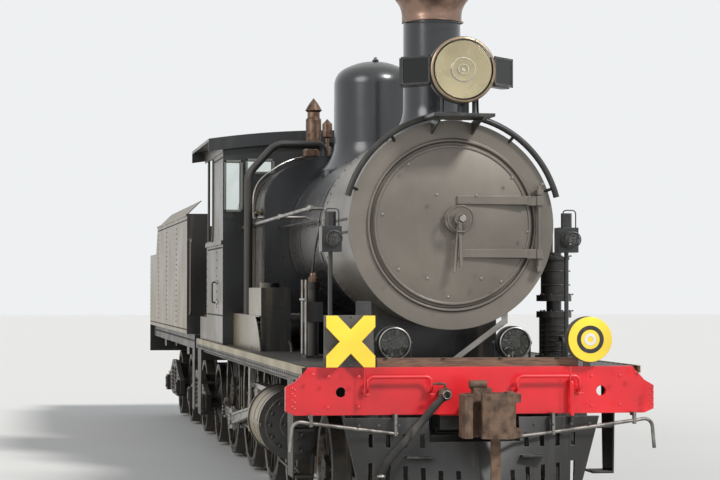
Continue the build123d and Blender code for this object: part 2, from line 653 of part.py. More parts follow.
# Smokebox door: a dished disc with a beaded edge, strap hinges, a boss and two handles
with BuildPart() as door:
    face, rim, crown = RING_S - 2, RING_S - 30, RING_S - 90
    with BuildSketch(Plane(at(0, 0, CENTRE_Z), x_dir=(0, 1, 0), z_dir=(1, 0, 0))) as dish:
        with BuildLine():
            Polyline((crown, 0), (face, 0), (face, DOOR_R), (rim, DOOR_R))
            # The dish is part of a ball, 60 deep over the door's radius
            ThreePointArc((rim, DOOR_R), (crown + 14.8, DOOR_R / 2), (crown, 0))
        make_face()
    revolve(dish.sketch, axis=Axis(at(0, 0, CENTRE_Z), (0, 1, 0)))
    turned_s([(rim + 2, DOOR_R - 26), (rim - 12, DOOR_R - 22), (rim - 12, DOOR_R - 8), (rim + 2, DOOR_R - 2)],
             0, CENTRE_Z)
    for z in STRAPS:
        sheet_x([(RING_S - 40, z - 36), (RING_S - 104, z - 30), (RING_S - 104, z + 30),
                 (RING_S - 40, z + 36)], (20, 560))
        block((540, HINGE[0]), (HINGE[1] - 14, HINGE[1] + 14), (z - 36, z + 36))
        drum_z(HINGE[0], HINGE[1], (z - 36, z + 36), 34)
        drum_z(HINGE[0], HINGE[1], (z - 37, z + 37), 18, Mode.SUBTRACT)
    drum_s(20, (RING_S - 135, RING_S - 80), CENTRE_Z + 40, 105)
    drum_s(20, (RING_S - 190, RING_S - 130), CENTRE_Z + 40, 42)
    for x, s, drop in ((-15, RING_S - 160, 400), (30, RING_S - 190, 360)):
        pipe([(20, s, CENTRE_Z + 40), (x, s, CENTRE_Z + 40 - drop)], 15, 0)
keep(door, "smokebox_door")

# Boiler barrel with its cladding bands
with BuildPart() as barrel:
    barrel_solid()
keep(barrel, "boiler_barrel")

# Firebox: square shoulders above, a narrow leg between the frames below
with BuildPart() as firebox:
    firebox_solid(FIREBOX_S, FIREBOX_FOOT)
    block((-590, 590), (4700, 6850), (980, FIREBOX_FOOT))
    # Ashpan hopper under the grate, between the axles
    sheet_x([(4760, 980), (5720, 980), (5560, 560), (4920, 560)], (-GRATE_HALF, GRATE_HALF))
    # Fire chamber, reached through the fire hole in the backhead
    block((-GRATE_HALF, GRATE_HALF), (4800, 6780), (1300, 2450), Mode.SUBTRACT)
    drum_s(0, (6779, FIREBOX_S[1] + 1), FIREHOLE_Z, 200, Mode.SUBTRACT)
    # Washout plugs high on both sides
    for s in (4720, 5120, 5520):
        drum_x((-FIREBOX_HALF - 14, 1 - FIREBOX_HALF), s, 2510, 32)
        drum_x((FIREBOX_HALF - 1, FIREBOX_HALF + 14), s, 2510, 32)
keep(firebox, "firebox")

# Chimney with its flared skirt on the smokebox, and its flared copper cap
CAP_FOOT = 3888
with BuildPart() as chimney:
    skirt = SMOKEBOX_R + CENTRE_Z
    with BuildSketch(Plane(at(0, CHIMNEY_S, 0), x_dir=(1, 0, 0), z_dir=(0, -1, 0))) as half:
        with BuildLine():
            Polyline((0, skirt - 120), (345, skirt - 120), (345, skirt - 55))
            ThreePointArc((345, skirt - 55), (258, skirt + 50), (CHIMNEY_R, skirt + 190))
            Polyline((CHIMNEY_R, skirt + 190), (CHIMNEY_R, CAP_FOOT), (0, CAP_FOOT), (0, skirt - 120))
        make_face()
    revolve(half.sketch, axis=Axis(at(0, CHIMNEY_S, 0), (0, 0, 1)))
    drum_s(0, (1000, 1900), CENTRE_Z, SMOKEBOX_R, Mode.SUBTRACT)
    drum_z(0, CHIMNEY_S, (2900, CAP_FOOT + 1), CHIMNEY_BORE, Mode.SUBTRACT)
keep(chimney, "chimney")

with BuildPart() as cap:
    with BuildSketch(Plane(at(0, CHIMNEY_S, 0), x_dir=(1, 0, 0), z_dir=(0, -1, 0))) as half:
        with BuildLine():
            Polyline((CHIMNEY_BORE, CAP_FOOT), (236, CAP_FOOT), (236, CAP_FOOT + 34))
            ThreePointArc((236, CAP_FOOT + 34), (250, CHIMNEY_TOP - 80), (288, CHIMNEY_TOP - 22))
            ThreePointArc((288, CHIMNEY_TOP - 22), (284, CHIMNEY_TOP - 6), (268, CHIMNEY_TOP))
            Polyline((268, CHIMNEY_TOP), (214, CHIMNEY_TOP), (CHIMNEY_BORE, CHIMNEY_TOP - 50),
                     (CHIMNEY_BORE, CAP_FOOT))
        make_face()
    revolve(half.sketch, axis=Axis(at(0, CHIMNEY_S, 0), (0, 0, 1)))
keep(cap, "chimney_cap")

# Dome: a skirt seated on the barrel and a rounded top
with BuildPart() as dome:
    skirt = BARREL_R + CENTRE_Z
    # The top is a small corner arc running into a large arc centred on the axis
    inset, bend = 196, radians(60)
    corner = DOME_R - inset
    crown = corner + inset / cos(bend)
    side_top = DOME_TOP - crown + inset * tan(bend)
    with BuildSketch(Plane(at(0, DOME_S, 0), x_dir=(1, 0, 0), z_dir=(0, -1, 0))) as half:
        with BuildLine():
            Polyline((0, skirt - 250), (480, skirt - 250), (480, skirt - 110))
            ThreePointArc((480, skirt - 110), (395, skirt + 10), (DOME_R, skirt + 130))
            Line((DOME_R, skirt + 130), (DOME_R, side_top))
            CenterArc((inset, side_top), corner, 0, 60)
            CenterArc((0, DOME_TOP - crown), crown, 60, 30)
            Line((0, DOME_TOP), (0, skirt - 250))
        make_face()
    revolve(half.sketch, axis=Axis(at(0, DOME_S, 0), (0, 0, 1)))
    barrel_solid(Mode.SUBTRACT)
keep(dome, "dome")

# Two safety valves and the whistle on the firebox
with BuildPart() as valves:
    for x in (-390, 390):
        turned_z([(0, CROWN_Z), (110, CROWN_Z), (110, 3130), (75, 3150), (75, 3430), (60, 3450), (60, 3500),
                  (82, 3520), (40, 3590), (0, 3640)], x, 5200)
    turned_z([(0, CROWN_Z - 40), (45, CROWN_Z - 40), (45, 3180), (22, 3200), (22, 3280), (50, 3290), (50, 3420),
              (24, 3445), (0, 3470)], -200, 5560)
    firebox_solid((4900, 5800), FIREBOX_FOOT, Mode.SUBTRACT)
keep(valves, "safety_valves")

# Headlight on a neck and a platform with two gussets, and a number box on each side turned outward
HEADLIGHT = (410, 3398)
PLATFORM_Z = (3052, 3075)
with BuildPart() as headlight:
    s, z = HEADLIGHT
    turned_s([(s + 210, 0), (s + 210, 70), (s + 150, 170), (s + 40, 222), (s + 20, 243), (s - 25, 243),
              (s - 25, 222), (s - 10, 214), (s + 90, 120), (s + 100, 0)], 0, z)
    drum_s(0, (s - 16, s - 10), z, 215)
    drum_z(40, s + 90, (PLATFORM_Z[1] - 1, z - 170), 48)
    block((-230, 230), (250, 615), PLATFORM_Z)
    for side in (-1, 1):
        sheet_x([(RING_S, 2950), (RING_S, PLATFORM_Z[0] - 6), (615, PLATFORM_Z[0] + 1), (300, PLATFORM_Z[0] + 1)],
                pair(side, 150, 162))
        drum_z(side * 120, s + 60, (PLATFORM_Z[1] - 1, z - 195), 15)
        tilt = Plane(at(side * 330, s + 95, z), x_dir=(cos(radians(45)), side * sin(radians(45)), 0),
                     z_dir=(side * sin(radians(45)), -cos(radians(45)), 0))
        with BuildSketch(tilt) as box:
            Rectangle(260, 215)
        extrude(box.sketch, amount=-70)
        pipe([(side * 120, s + 110, z), (side * 300, s + 125, z)], 18, 0)
keep(headlight, "headlight")

# Marker lamps on posts beside the smokebox
with BuildPart() as markers:
    for side in (-1, 1):
        x, s, z = side * 912, 760, 2160
        block((x - 75, x + 75), (s - 60, s + 90), (z - 95, z + 95))
        drum_z(x, s + 15, (z + 90, z + 205), 42)
        drum_s(x, (s - 85, s - 55), z, 62)
        drum_z(x, s + 15, (BOARD_Z[1], z - 90), 17)
        drum_z(x, s + 15, (BOARD_Z[1], BOARD_Z[1] + 16), 50)
keep(markers, "marker_lamps")

# Round lamps on the deck, each held in a fork
with BuildPart() as deck_lamps:
    for side in (-1, 1):
        x, s, z = side * 459, 690, 1382
        turned_s([(s - 50, 128), (s + 12, 128), (s + 78, 76), (s + 88, 0), (s - 28, 0), (s - 28, 114),
                  (s - 50, 114)], x, z)
        for arm in (-1, 1):
            block(pair(1, x + arm * 130, x + arm * 142), (s - 35, s - 3), (BOARD_Z[1] + 13, z + 20))
            drum_x(pair(1, x + arm * 120, x + arm * 152), s - 19, z, 13)
        block((x - 142, x + 142), (s - 40, s + 2), (BOARD_Z[1] + 8, BOARD_Z[1] + 20))
        drum_z(x, s - 19, (BOARD_Z[1], BOARD_Z[1] + 14), 55)
keep(deck_lamps, "deck_lamps")

# Plate with a cross and round disc standing on the beam
with BuildPart() as plates:
    block((-1076, -720), (2, 18), (BEAM_Z[1], 1600))
    drum_s(850, (2, 18), 1425, 165)
    block((825, 875), (2, 18), (BEAM_Z[1], 1290))
keep(plates, "signal_plates")

# Handrails along the boiler on their brackets, and the flat stay in front of the saddle
with BuildPart() as rails:
    for side in (-1, 1):
        pipe([(side * 835, 2250, 2455), (side * 1000, 4500, 2400), (side * 1000, CAB_S[0] - 20, 2400)], 16, 900)
        # S, X limits and Z of the rail's brackets
        for s, x0, x1, z in ((2400, 700, 846, 2451), (3600, 690, 933, 2422), (5200, 930, 1000, 2400)):
            drum_x(pair(side, x0, x1), s, z, 12)
    sheet_s([(-30, BOARD_Z[1]), (34, BOARD_Z[1]), (448, 1530), (448, 1680), (402, 1680), (402, 1552)], (760, 772))
    drum_s(0, (755, 780), CENTRE_Z, SMOKEBOX_R, Mode.SUBTRACT)
    barrel_solid(Mode.SUBTRACT)
    firebox_solid(FIREBOX_S, FIREBOX_FOOT, Mode.SUBTRACT)
keep(rails, "handrails")

# Smokebox saddle on the frames, and the two outside cylinders with flanged ends and drain cocks
with BuildPart() as cylinders:
    sheet_s([(-640, BOARD_Z[0]), (640, BOARD_Z[0]), (640, 1300), (500, 1420), (500, 1700), (-500, 1700),
             (-500, 1420), (-640, 1300)], (1350, 2080))
    drum_s(0, (1300, 2100), CENTRE_Z, SMOKEBOX_R, Mode.SUBTRACT)
    s0, s1 = CYLINDER_S
    for side in (-1, 1):
        x = side * CYLINDER_X
        # S limits and radius of the cladding, the flanges, the covers and the stuffing box
        for start, stop, radius in ((s0, s1, CYLINDER_R - 12), (s0, s0 + 32, CYLINDER_R), (s1 - 32, s1, CYLINDER_R),
                                    (s0 - 30, s0 + 1, 235), (s0 - 50, s0 - 29, 120), (s1 - 1, s1 + 35, 200),
                                    (s1 + 34, s1 + 110, 72)):
            drum_s(x, (start, stop), CYLINDER_Z, radius)
        for s in (s0 + 70, s1 - 70):
            drum_z(x, s, (CYLINDER_Z - CYLINDER_R - 38, CYLINDER_Z - CYLINDER_R + 30), 17)
        block(pair(side, PLATE_X[1], 900), (1760, 2380), (820, 1060))
        drum_s(x, (1880, s1 + 111), CYLINDER_Z, PISTON_ROD_R + 7, Mode.SUBTRACT)
keep(cylinders, "cylinders")

# Slide bars above and below each crosshead, held by the cylinder and by a hanger outside them
with BuildPart() as bars:
    inside, outside = BAR_GAP, BAR_GAP + BAR_DEPTH
    for side in (-1, 1):
        x = pair(side, BAR_X[0], BAR_X[1])
        for way in (-1, 1):
            z = sorted((CYLINDER_Z + way * inside, CYLINDER_Z + way * outside))
            block(x, (CYLINDER_S[1] + 35, BAR_S[1]), z)
            block(x, (CYLINDER_S[1] + 35, CYLINDER_S[1] + 75),
                  sorted((CYLINDER_Z + way * outside, CYLINDER_Z + way * (CYLINDER_R - 20))))
            block(pair(side, BAR_X[1] - 10, HANGER_X[1]), (BAR_S[1] - 24, BAR_S[1]), z)
        sheet_x([(BAR_S[1] - 70, CYLINDER_Z - outside), (BAR_S[1], CYLINDER_Z - outside), (BAR_S[1], BOARD_Z[0]),
                 (BAR_S[1] - 170, BOARD_Z[0]), (BAR_S[1] - 70, CYLINDER_Z + outside + 15)],
                pair(side, HANGER_X[0], HANGER_X[1]))
keep(bars, "slide_bars")

# Splashers over the coupled wheels, with a sandbox over the leading ones
SPLASHER_X = 1090
SPLASHER_TOP = 1545
SANDBOX = (808, 1075, 3740, 4700, 1797)      # X limits, S limits and top
with BuildPart() as splashers:
    nose = SANDBOX[2]
    for side in (-1, 1):
        with BuildSketch(along(side * (SPLASHER_X - 10))) as cheek:
            with BuildLine():
                Polyline((3666, BOARD_Z[1]), (CAB_S[0], BOARD_Z[1]), (CAB_S[0], SPLASHER_TOP), (4088, SPLASHER_TOP))
                ThreePointArc((4088, SPLASHER_TOP), (3850, 1425), (3666, BOARD_Z[1]))
            make_face()
        extrude(cheek.sketch, amount=side * 10)
        block(pair(side, 660, SPLASHER_X), (nose + 12, CAB_S[0]), (SPLASHER_TOP - 10, SPLASHER_TOP))
        # The front wall runs from the board up to the sandbox's top
        block(pair(side, SANDBOX[0], SANDBOX[1]), (nose, nose + 12), (BOARD_Z[1], SANDBOX[4]))
        block(pair(side, SANDBOX[0], SANDBOX[1]), (nose, SANDBOX[3]), (SPLASHER_TOP - 1, SANDBOX[4]))
        drum_z(side * 945, 4160, (SANDBOX[4], SANDBOX[4] + 45), 90)
    barrel_solid(Mode.SUBTRACT)
    firebox_solid(FIREBOX_S, BOARD_Z[0], Mode.SUBTRACT)
keep(splashers, "splashers")

# Air pump on the left side, and the lubricator stand on the right
with BuildPart() as pump:
    # Z limits and radius of its flanges and cylinders
    for z0, z1, radius in ((BOARD_Z[1], 1262, 150), (1262, 1560, 118), (1560, 1610, 140), (1610, 1690, 60),
                           (1690, 1740, 140), (1740, 2020, 105), (2020, 2045, 125), (2045, 2080, 60)):
        drum_z(1010, 1500, (z0, z1), radius)
keep(pump, "air_pump")

with BuildPart() as lubricator:
    for s in (2000, 2150):
        drum_z(-860, s, (BOARD_Z[1], 1790), 42)
        drum_z(-860, s, (1790, 1840), 55)
    block((-930, -790), (1930, 2220), (1520, 1680))
    block((-930, -790), (1930, 2220), (BOARD_Z[1], 1250))
keep(lubricator, "lubricator")

# Pipes from the firebox crown down the right side, and the tube round the smokebox front
with BuildPart() as pipes:
    for s in (4880, 4990):
        pipe([(-330, s, 3000), (-330, s, 3165), (-800, s, 3165), (-1055, s, 2880), (-1055, s, SPLASHER_TOP)], 34,
             [70, 180, 180])
    firebox_solid(FIREBOX_S, FIREBOX_FOOT, Mode.SUBTRACT)
    with BuildLine(Plane(at(0, RING_S - 40, CENTRE_Z), x_dir=(1, 0, 0), z_dir=(0, -1, 0))) as hoop:
        CenterArc((0, 0), HOOP_R, 15, 150)
    with BuildSketch(Plane(hoop.line @ 0, z_dir=hoop.line % 0)) as section:
        Circle(23)
    sweep(section.sketch, path=hoop.line)
    for turn in (20, 55, 125, 160):
        across_x, up = cos(radians(turn)), sin(radians(turn))
        inner, outer = RING_R - 24, HOOP_R + 6
        pipe([(inner * across_x, RING_S + 12, CENTRE_Z + inner * up),
              (outer * across_x, RING_S - 40, CENTRE_Z + outer * up)], 12, 0)
    drum_s(0, (RING_S, RING_S + 60), CENTRE_Z, RING_R, Mode.SUBTRACT)
keep(pipes, "boiler_pipes")

# Cab: floor, front sheet round the firebox, side sheets with a waist ledge, corner posts and grab bars
with BuildPart() as cab:
    block((-CAB_HALF, CAB_HALF), (CAB_S[0], 8360), FLOOR_Z)
    for side in (-1, 1):
        sheet_x([(CAB_S[0], 1285), (CAB_S[1], 1285), (CAB_S[1], WAIST_Z), (OPENING_S + 70, WAIST_Z),
                 (OPENING_S, WAIST_Z + 130), (OPENING_S, SHEET_TOP), (CAB_S[0], SHEET_TOP)],
                pair(side, CAB_HALF - SHEET, CAB_HALF))
        block(pair(side, CAB_HALF - 30, CAB_HALF + 18), (CAB_S[0], CAB_S[1]), (WAIST_Z - 40, WAIST_Z))
        drum_z(side * (CAB_HALF - 16), CAB_S[1] - 50, (WAIST_Z - 1, SHEET_TOP), 14)
        block(pair(side, 1080, CAB_HALF), (CAB_S[0], 8360), (BOARD_Z[1], FLOOR_Z[0]))
        pipe([(side * (CAB_HALF - 4), 6565, 1645), (side * (CAB_HALF + 42), 6565, 1645),
              (side * (CAB_HALF + 42), 6565, 1855), (side * (CAB_HALF - 4), 6565, 1855)], 9, 20)
    with BuildSketch(across(CAB_S[0] + SHEET)) as front:
        with BuildLine():
            Polyline((-CAB_HALF + SHEET, SHEET_TOP), (-CAB_HALF + SHEET, FLOOR_Z[1]), (CAB_HALF - SHEET, FLOOR_Z[1]),
                     (CAB_HALF - SHEET, SHEET_TOP))
            ThreePointArc((CAB_HALF - SHEET, SHEET_TOP), (0, ROOF_CROWN - 34), (-CAB_HALF + SHEET, SHEET_TOP))
        make_face()
        for side in (-1, 1):
            with Locations((side * 1105, 2810)):
                Rectangle(140, 470, mode=Mode.SUBTRACT)
            with Locations((side * 838, 3008)):
                Rectangle(245, 105, mode=Mode.SUBTRACT)
    extrude(front.sketch, amount=SHEET)
    # Opening for the firebox, which passes through the front sheet and the floor
    firebox_solid((CAB_S[0] - 5, FIREBOX_S[1]), BOARD_Z[0], Mode.SUBTRACT)
keep(cab, "cab_body")

# Cab roof: an arched sheet with a board under its front and rear edges and a rail over each side sheet
with BuildPart() as roof:
    # S limits and depth of the arched sheet and its two boards
    for s0, s1, depth in ((ROOF_S[0], ROOF_S[1], 30), (ROOF_S[0], ROOF_S[0] + 12, FASCIA),
                          (ROOF_S[1] - 12, ROOF_S[1], FASCIA)):
        with BuildSketch(across(s1)) as arch:
            with BuildLine():
                ThreePointArc((-ROOF_HALF, ROOF_EDGE), (0, ROOF_CROWN), (ROOF_HALF, ROOF_EDGE))
                Line((ROOF_HALF, ROOF_EDGE), (ROOF_HALF, ROOF_EDGE - depth))
                ThreePointArc((ROOF_HALF, ROOF_EDGE - depth), (0, ROOF_CROWN - depth),
                              (-ROOF_HALF, ROOF_EDGE - depth))
                Line((-ROOF_HALF, ROOF_EDGE - depth), (-ROOF_HALF, ROOF_EDGE))
            make_face()
        extrude(arch.sketch, amount=s1 - s0)
    for side in (-1, 1):
        block(pair(side, CAB_HALF, CAB_HALF + 12), (ROOF_S[0] + 6, ROOF_S[1] - 6), (EAVES_Z, SHEET_TOP + 15))
keep(roof, "cab_roof")

with BuildPart() as cab_glass:
    for side in (-1, 1):
        # X, Z, width and height of each pane
        for x, z, wide, high in ((1105, 2810, 138, 468), (838, 3008, 243, 103)):
            block(pair(side, x - wide / 2, x + wide / 2), (CAB_S[0] + 4, CAB_S[0] + 8),
                  (z - high / 2, z + high / 2))
keep(cab_glass, "cab_windows")

# Backhead fittings: the fire hole's ring and hinge, regulator, gauges, water glasses and the reverser
FIRE_HINGE = (-275, 6975)    # X and S of the fire door's hinge pin
with BuildPart() as backhead:
    back = FIREBOX_S[1]
    drum_s(0, (back, back + 30), FIREHOLE_Z, 260)
    drum_s(0, (back - 1, back + 31), FIREHOLE_Z, 200, Mode.SUBTRACT)
    for z in (FIREHOLE_Z - 140, FIREHOLE_Z + 140):
        block((FIRE_HINGE[0] - 22, FIRE_HINGE[0] + 22), (back, FIRE_HINGE[1] + 16), (z - 12, z + 12))
    drum_z(FIRE_HINGE[0], FIRE_HINGE[1], (FIREHOLE_Z - 150, FIREHOLE_Z + 150), 12)
    drum_s(0, (back, back + 100), 2600, 60)
    pipe([(-260, back + 90, 2660), (260, back + 90, 2540)], 16, 0)
    for side in (-1, 1):
        drum_s(side * 520, (back, back + 60), 2620, 95)
        drum_z(side * 560, back + 40, (2150, 2450), 22)
        block(pair(side, 540, 580), (back, back + 50), (2180, 2210))
        block(pair(side, 540, 580), (back, back + 50), (2390, 2420))
    # Reverser: a screw with its handwheel on a column that stands on the floor
    block((780, 860), (back + 20, back + 100), (FLOOR_Z[1], 1950))
    drum_s(820, (back, back + 130), 1960, 45)
    drum_s(820, (back + 128, back + 148), 1960, 150)
keep(backhead, "backhead_fittings")

with BuildPart() as fire_door:
    drum_s(0, (6936, 6954), FIREHOLE_Z, 235)
    for z in (FIREHOLE_Z - 90, FIREHOLE_Z + 90):
        block((FIRE_HINGE[0], -60), (6953, 6967), (z - 20, z + 20))
        drum_z(FIRE_HINGE[0], FIRE_HINGE[1], (z - 20, z + 20), 24)
        drum_z(FIRE_HINGE[0], FIRE_HINGE[1], (z - 21, z + 21), 13, Mode.SUBTRACT)
    block((120, 150), (6953, 7020), (FIREHOLE_Z - 60, FIREHOLE_Z + 60))
keep(fire_door, "firehole_door")

# Brake gear: a shoe, a hanger and a cross shaft in front of each coupled axle
with BuildPart() as brakes:
    for s in DRIVER_AXLES:
        for side in (-1, 1):
            with BuildSketch(along(side * 800)) as shoe:
                with Locations((s, DRIVER_R)):
                    Circle(DRIVER_R + 85)
                    Circle(DRIVER_R + 8, mode=Mode.SUBTRACT)
                Polygon((s - 900, 560), (s - 500, 560), (s - 500, 860), (s - 900, 860), align=None,
                        mode=Mode.INTERSECT)
            extrude(shoe.sketch, amount=side * 90)
            block(pair(side, 805, 845), (s - 785, s - 745), (380, 1020))
            drum_x(pair(side, PLATE_X[1], 845), s - 765, 990, 24)
        drum_x((-805, 805), s - 765, 405, 24)
keep(brakes, "brake_gear")

# Uncoupling gear on the beam, and the brake hose at its front
with BuildPart() as gear:
    for side in (-1, 1):
        pipe([(side * 1330, -77, 640), (side * 1310, -77, 860), (side * 1180, -77, 840), (side * 560, -77, 760)],
             13, 60)
        for x, z0 in ((1190, 815), (585, 745)):
            block(pair(side, x, x - 20), (-94, -60), (z0, 900))
            block(pair(side, x, x - 20), (-60, 0), (874, 900))
    pipe([(560, -77, 760), (320, -160, 742), (140, -330, 735)], 13, 50)
keep(gear, "uncoupling_gear")

with BuildPart() as hose:
    drum_s(-225, (-60, 0), 1040, 34)
    pipe([(-225, -60, 1040), (-225, -150, 1040), (-310, -165, 960), (-650, -140, 560), (-700, -120, 450)], 26,
         [30, 50, 60])
    drum_z(-700, -120, (400, 460), 38)
keep(hose, "brake_hose")

# Leading bogie frame: side plates inside the wheels, boxes, stretchers and centre pin
with BuildPart() as bogie:
    front, rear = BOGIE_PIVOT - BOGIE_BASE / 2, BOGIE_PIVOT + BOGIE_BASE / 2
    for side in (-1, 1):
        sheet_x([(front - 330, 330), (front - 330, 540), (front - 150, 600), (rear + 150, 600), (rear + 330, 540),
                 (rear + 330, 330), (rear + 120, 270), (rear - 120, 270), (rear - 300, 400), (front + 300, 400),
                 (front + 120, 270), (front - 120, 270)], pair(side, 560, 590))
        for s in (front, rear):
            block(pair(side, 540, 640), (s - 110, s + 110), (BOGIE_R - 100, BOGIE_R + 110))
            drum_x(pair(side, 530, 650), s, BOGIE_R, 73, Mode.SUBTRACT)
    block((-560, 560), (BOGIE_PIVOT - 200, BOGIE_PIVOT + 200), (480, 600))
    for s0 in (front - 300, rear + 270):
        block((-560, 560), (s0, s0 + 30), (340, 540))
    drum_z(0, BOGIE_PIVOT, (600, 795), 170)
keep(bogie, "bogie_frame")

# Drawbar between the engine's drag box and the tender's front beam, with its eye
with BuildPart() as drawbar:
    block((-75, 75), (DRAWBAR_PIN - 60, TENDER_S[0]), DRAWBAR_Z)
    drum_z(0, DRAWBAR_PIN, (DRAWBAR_Z[0] - 20, DRAWBAR_Z[1] + 20), 90)
keep(drawbar, "drawbar")

# Tender underframe: sills, bearers, end beams, drag bar, steps and the handbrake's column
with BuildPart() as under:
    s0, s1 = TENDER_S
    for side in (-1, 1):
        block(pair(side, 330, 420), (s0 + 40, s1 - 40), SILL_Z)
        block(pair(side, 1180, 1240), (s0 + 40, s1 - 40), (1110, SILL_Z[1]))
        for z in (420, 740):
            block(pair(side, 1090, 1236), (s0 + 60, s0 + 320), (z, z + 14))
        block(pair(side, 1224, 1236), (s0 + 60, s0 + 320), (420, 1111))
    block((-1240, 1240), (s0, s0 + 40), SILL_Z)
    block((-1300, 1300), (s1 - 40, s1), (BEAM_Z[0], SILL_Z[1]))
    block((-1240, 1240), (s0, TANK_S[0]), (SILL_Z[1] - 20, SILL_Z[1]))
    for s in TENDER_PIVOTS:
        block((-1180, 1180), (s - 160, s + 160), (1000, 1250))
        drum_z(0, s, (900, 1000), 190)
    block((-1180, 1180), (11990, 12110), (1050, 1250))
    block((-75, 75), (s0 + 39, s0 + 500), DRAWBAR_Z)
    drum_z(-900, s0 + 170, (SILL_Z[1] - 1, 2120), 24)
    drum_z(-900, s0 + 170, (2119, 2150), 42)
    pipe([(-900, s0 + 170, 2135), (-900, s0 + 30, 2135), (-900, s0 + 30, 2235)], 13, 25)
keep(under, "tender_frame")

# Tender tank: sides, beaded top edge, open coal space with a sloping floor, raised boards and filler neck
with BuildPart() as tank:
    s0, s1 = TANK_S
    deck_s, deck_z = REAR_DECK
    top_end = deck_s - 300
    sheet_x([(s0, TANK_Z[0]), (s1, TANK_Z[0]), (s1, deck_z), (deck_s, deck_z), (top_end, TANK_Z[1]),
             (s0, TANK_Z[1])], (-TANK_HALF, TANK_HALF))
    sheet_x([(s0 - 10, 1400), (9500, 1400), (13500, 2250), (13500, 3000), (s0 - 10, 3000)], (-COAL_HALF, COAL_HALF),
            Mode.SUBTRACT)
    for side in (-1, 1):
        sheet_s([(side * 1290, TANK_Z[1] - 1), (side * 1278, TANK_Z[1] - 1), (side * 1118, 2805),
                 (side * 1130, 2805)], (9100, 13600))
        drum_s(side * TANK_HALF, (s0, top_end), TANK_Z[1] - 14, 14)
        # Handrail at the tank's front corner
        pipe([(side * 1260, s0 + 5, 1500), (side * 1260, s0 - 60, 1500), (side * 1260, s0 - 60, 2350),
              (side * 1260, s0 + 5, 2350)], 14, 30)
        # Uprights of the ladder behind
        block(pair(1, 860 + side * 180, 860 + side * 168), (s1 + 50, s1 + 90), (1330, deck_z + 60))
        for z in (1360, deck_z - 40):
            block(pair(1, 860 + side * 180, 860 + side * 168), (s1 - 1, s1 + 51), (z, z + 24))
    for number in range(4):
        drum_x((860 - 170, 860 + 170), s1 + 70, 1440 + 240 * number, 11)
    drum_z(0, FILLER_S, (deck_z, 2400), 230)
    drum_z(0, FILLER_S, (1900, 2401), 210, Mode.SUBTRACT)
keep(tank, "tender_tank")

with BuildPart() as lid:
    turned_z([(0, 2405), (245, 2405), (240, 2425), (0, 2450)], 0, FILLER_S)
    block((-60, 60), (FILLER_S - 260, FILLER_S - 200), (2405, 2420))
    drum_x((-60, 60), FILLER_S - 265, 2410, 14)
keep(lid, "filler_lid")


# Tender bogies: outside frames with spring windows, lidded axle boxes, bolster and centre
def tender_bogie(name, s):
    """Writes one tender bogie about its pivot at S."""
    first, last = s - TENDER_BASE / 2, s + TENDER_BASE / 2
    with BuildPart() as truck:
        for side in (-1, 1):
            face = pair(side, 1000, 1060)
            sheet_x([(first - 190, 380), (first - 190, 560), (first + 190, 640), (s - 300, 800), (s + 300, 800),
                     (last - 190, 640), (last + 190, 560), (last + 190, 380), (last - 190, 380), (s + 300, 330),
                     (s - 300, 330), (first + 190, 380)], face)
            for way in (-1, 1):
                sheet_x([(s + way * 380, 460), (s + way * 150, 380), (s + way * 150, 720), (s + way * 330, 640)],
                        (face[0] - 1, face[1] + 1), Mode.SUBTRACT)
                drum_z(side * 1030, s + way * 215, (385, 715), 44)
            for axle in (first, last):
                block(pair(side, 985, 1100), (axle - 110, axle + 110), (TENDER_R - 105, TENDER_R + 105))
                block(pair(side, 1099, 1112), (axle - 80, axle + 80), (TENDER_R - 70, TENDER_R + 80))
                drum_x(pair(side, 980, 1090), axle, TENDER_R, 65, Mode.SUBTRACT)
        block((-1000, 1000), (s - 120, s + 120), (560, 760))
        drum_z(0, s, (760, 895), 180)
    keep(truck, name)


for number, s in enumerate(TENDER_PIVOTS, start=1):
    tender_bogie("tender_bogie_" + str(number), s)
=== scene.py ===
"""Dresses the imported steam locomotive: its finishes, fittings, camera, light and floor.

Places are given as the engine's drawings give them: X from the centre line, S behind
the buffer beam's face and Z above the rail, all in metres.
"""
import logging
from collections.abc import Iterable, Sequence
from dataclasses import dataclass, field
from enum import Enum
from math import asin, cos, hypot, pi, radians, sin, sqrt
from typing import Any

import bmesh
import bpy
from mathutils import Matrix, Vector


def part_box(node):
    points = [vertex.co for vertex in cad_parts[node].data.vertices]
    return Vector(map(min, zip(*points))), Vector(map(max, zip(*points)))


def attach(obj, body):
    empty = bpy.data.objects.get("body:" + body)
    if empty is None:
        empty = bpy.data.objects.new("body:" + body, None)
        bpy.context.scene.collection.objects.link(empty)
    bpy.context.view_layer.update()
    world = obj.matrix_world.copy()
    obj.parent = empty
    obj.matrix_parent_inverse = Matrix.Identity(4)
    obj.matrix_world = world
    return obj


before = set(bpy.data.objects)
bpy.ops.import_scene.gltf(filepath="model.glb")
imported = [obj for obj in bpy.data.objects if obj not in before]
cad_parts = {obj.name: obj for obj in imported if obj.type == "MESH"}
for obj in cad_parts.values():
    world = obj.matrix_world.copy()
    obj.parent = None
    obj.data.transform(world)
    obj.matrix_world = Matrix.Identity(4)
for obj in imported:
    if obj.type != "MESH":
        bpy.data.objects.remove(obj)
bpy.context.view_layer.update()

NODES: dict[str, Any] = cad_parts
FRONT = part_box("buffer_beam")[0].y
RAIL = 0.028
BOILER_Z = 2.267
CRANK_TURN = {-1: -45.0, 1: -135.0}
AXLES = (("leading", 4.35), ("main", 6.03), ("trailing", 7.71))
SIDES = (-1, 1)
WORD = {-1: "right", 1: "left"}
LOG = logging.getLogger("locomotive")

Point = tuple[float, float, float]
Pair = tuple[float, float]
Places = list[tuple[Vector, Vector]]

AXIS = {"X": Vector((1, 0, 0)), "Y": Vector((0, 1, 0)), "Z": Vector((0, 0, 1))}
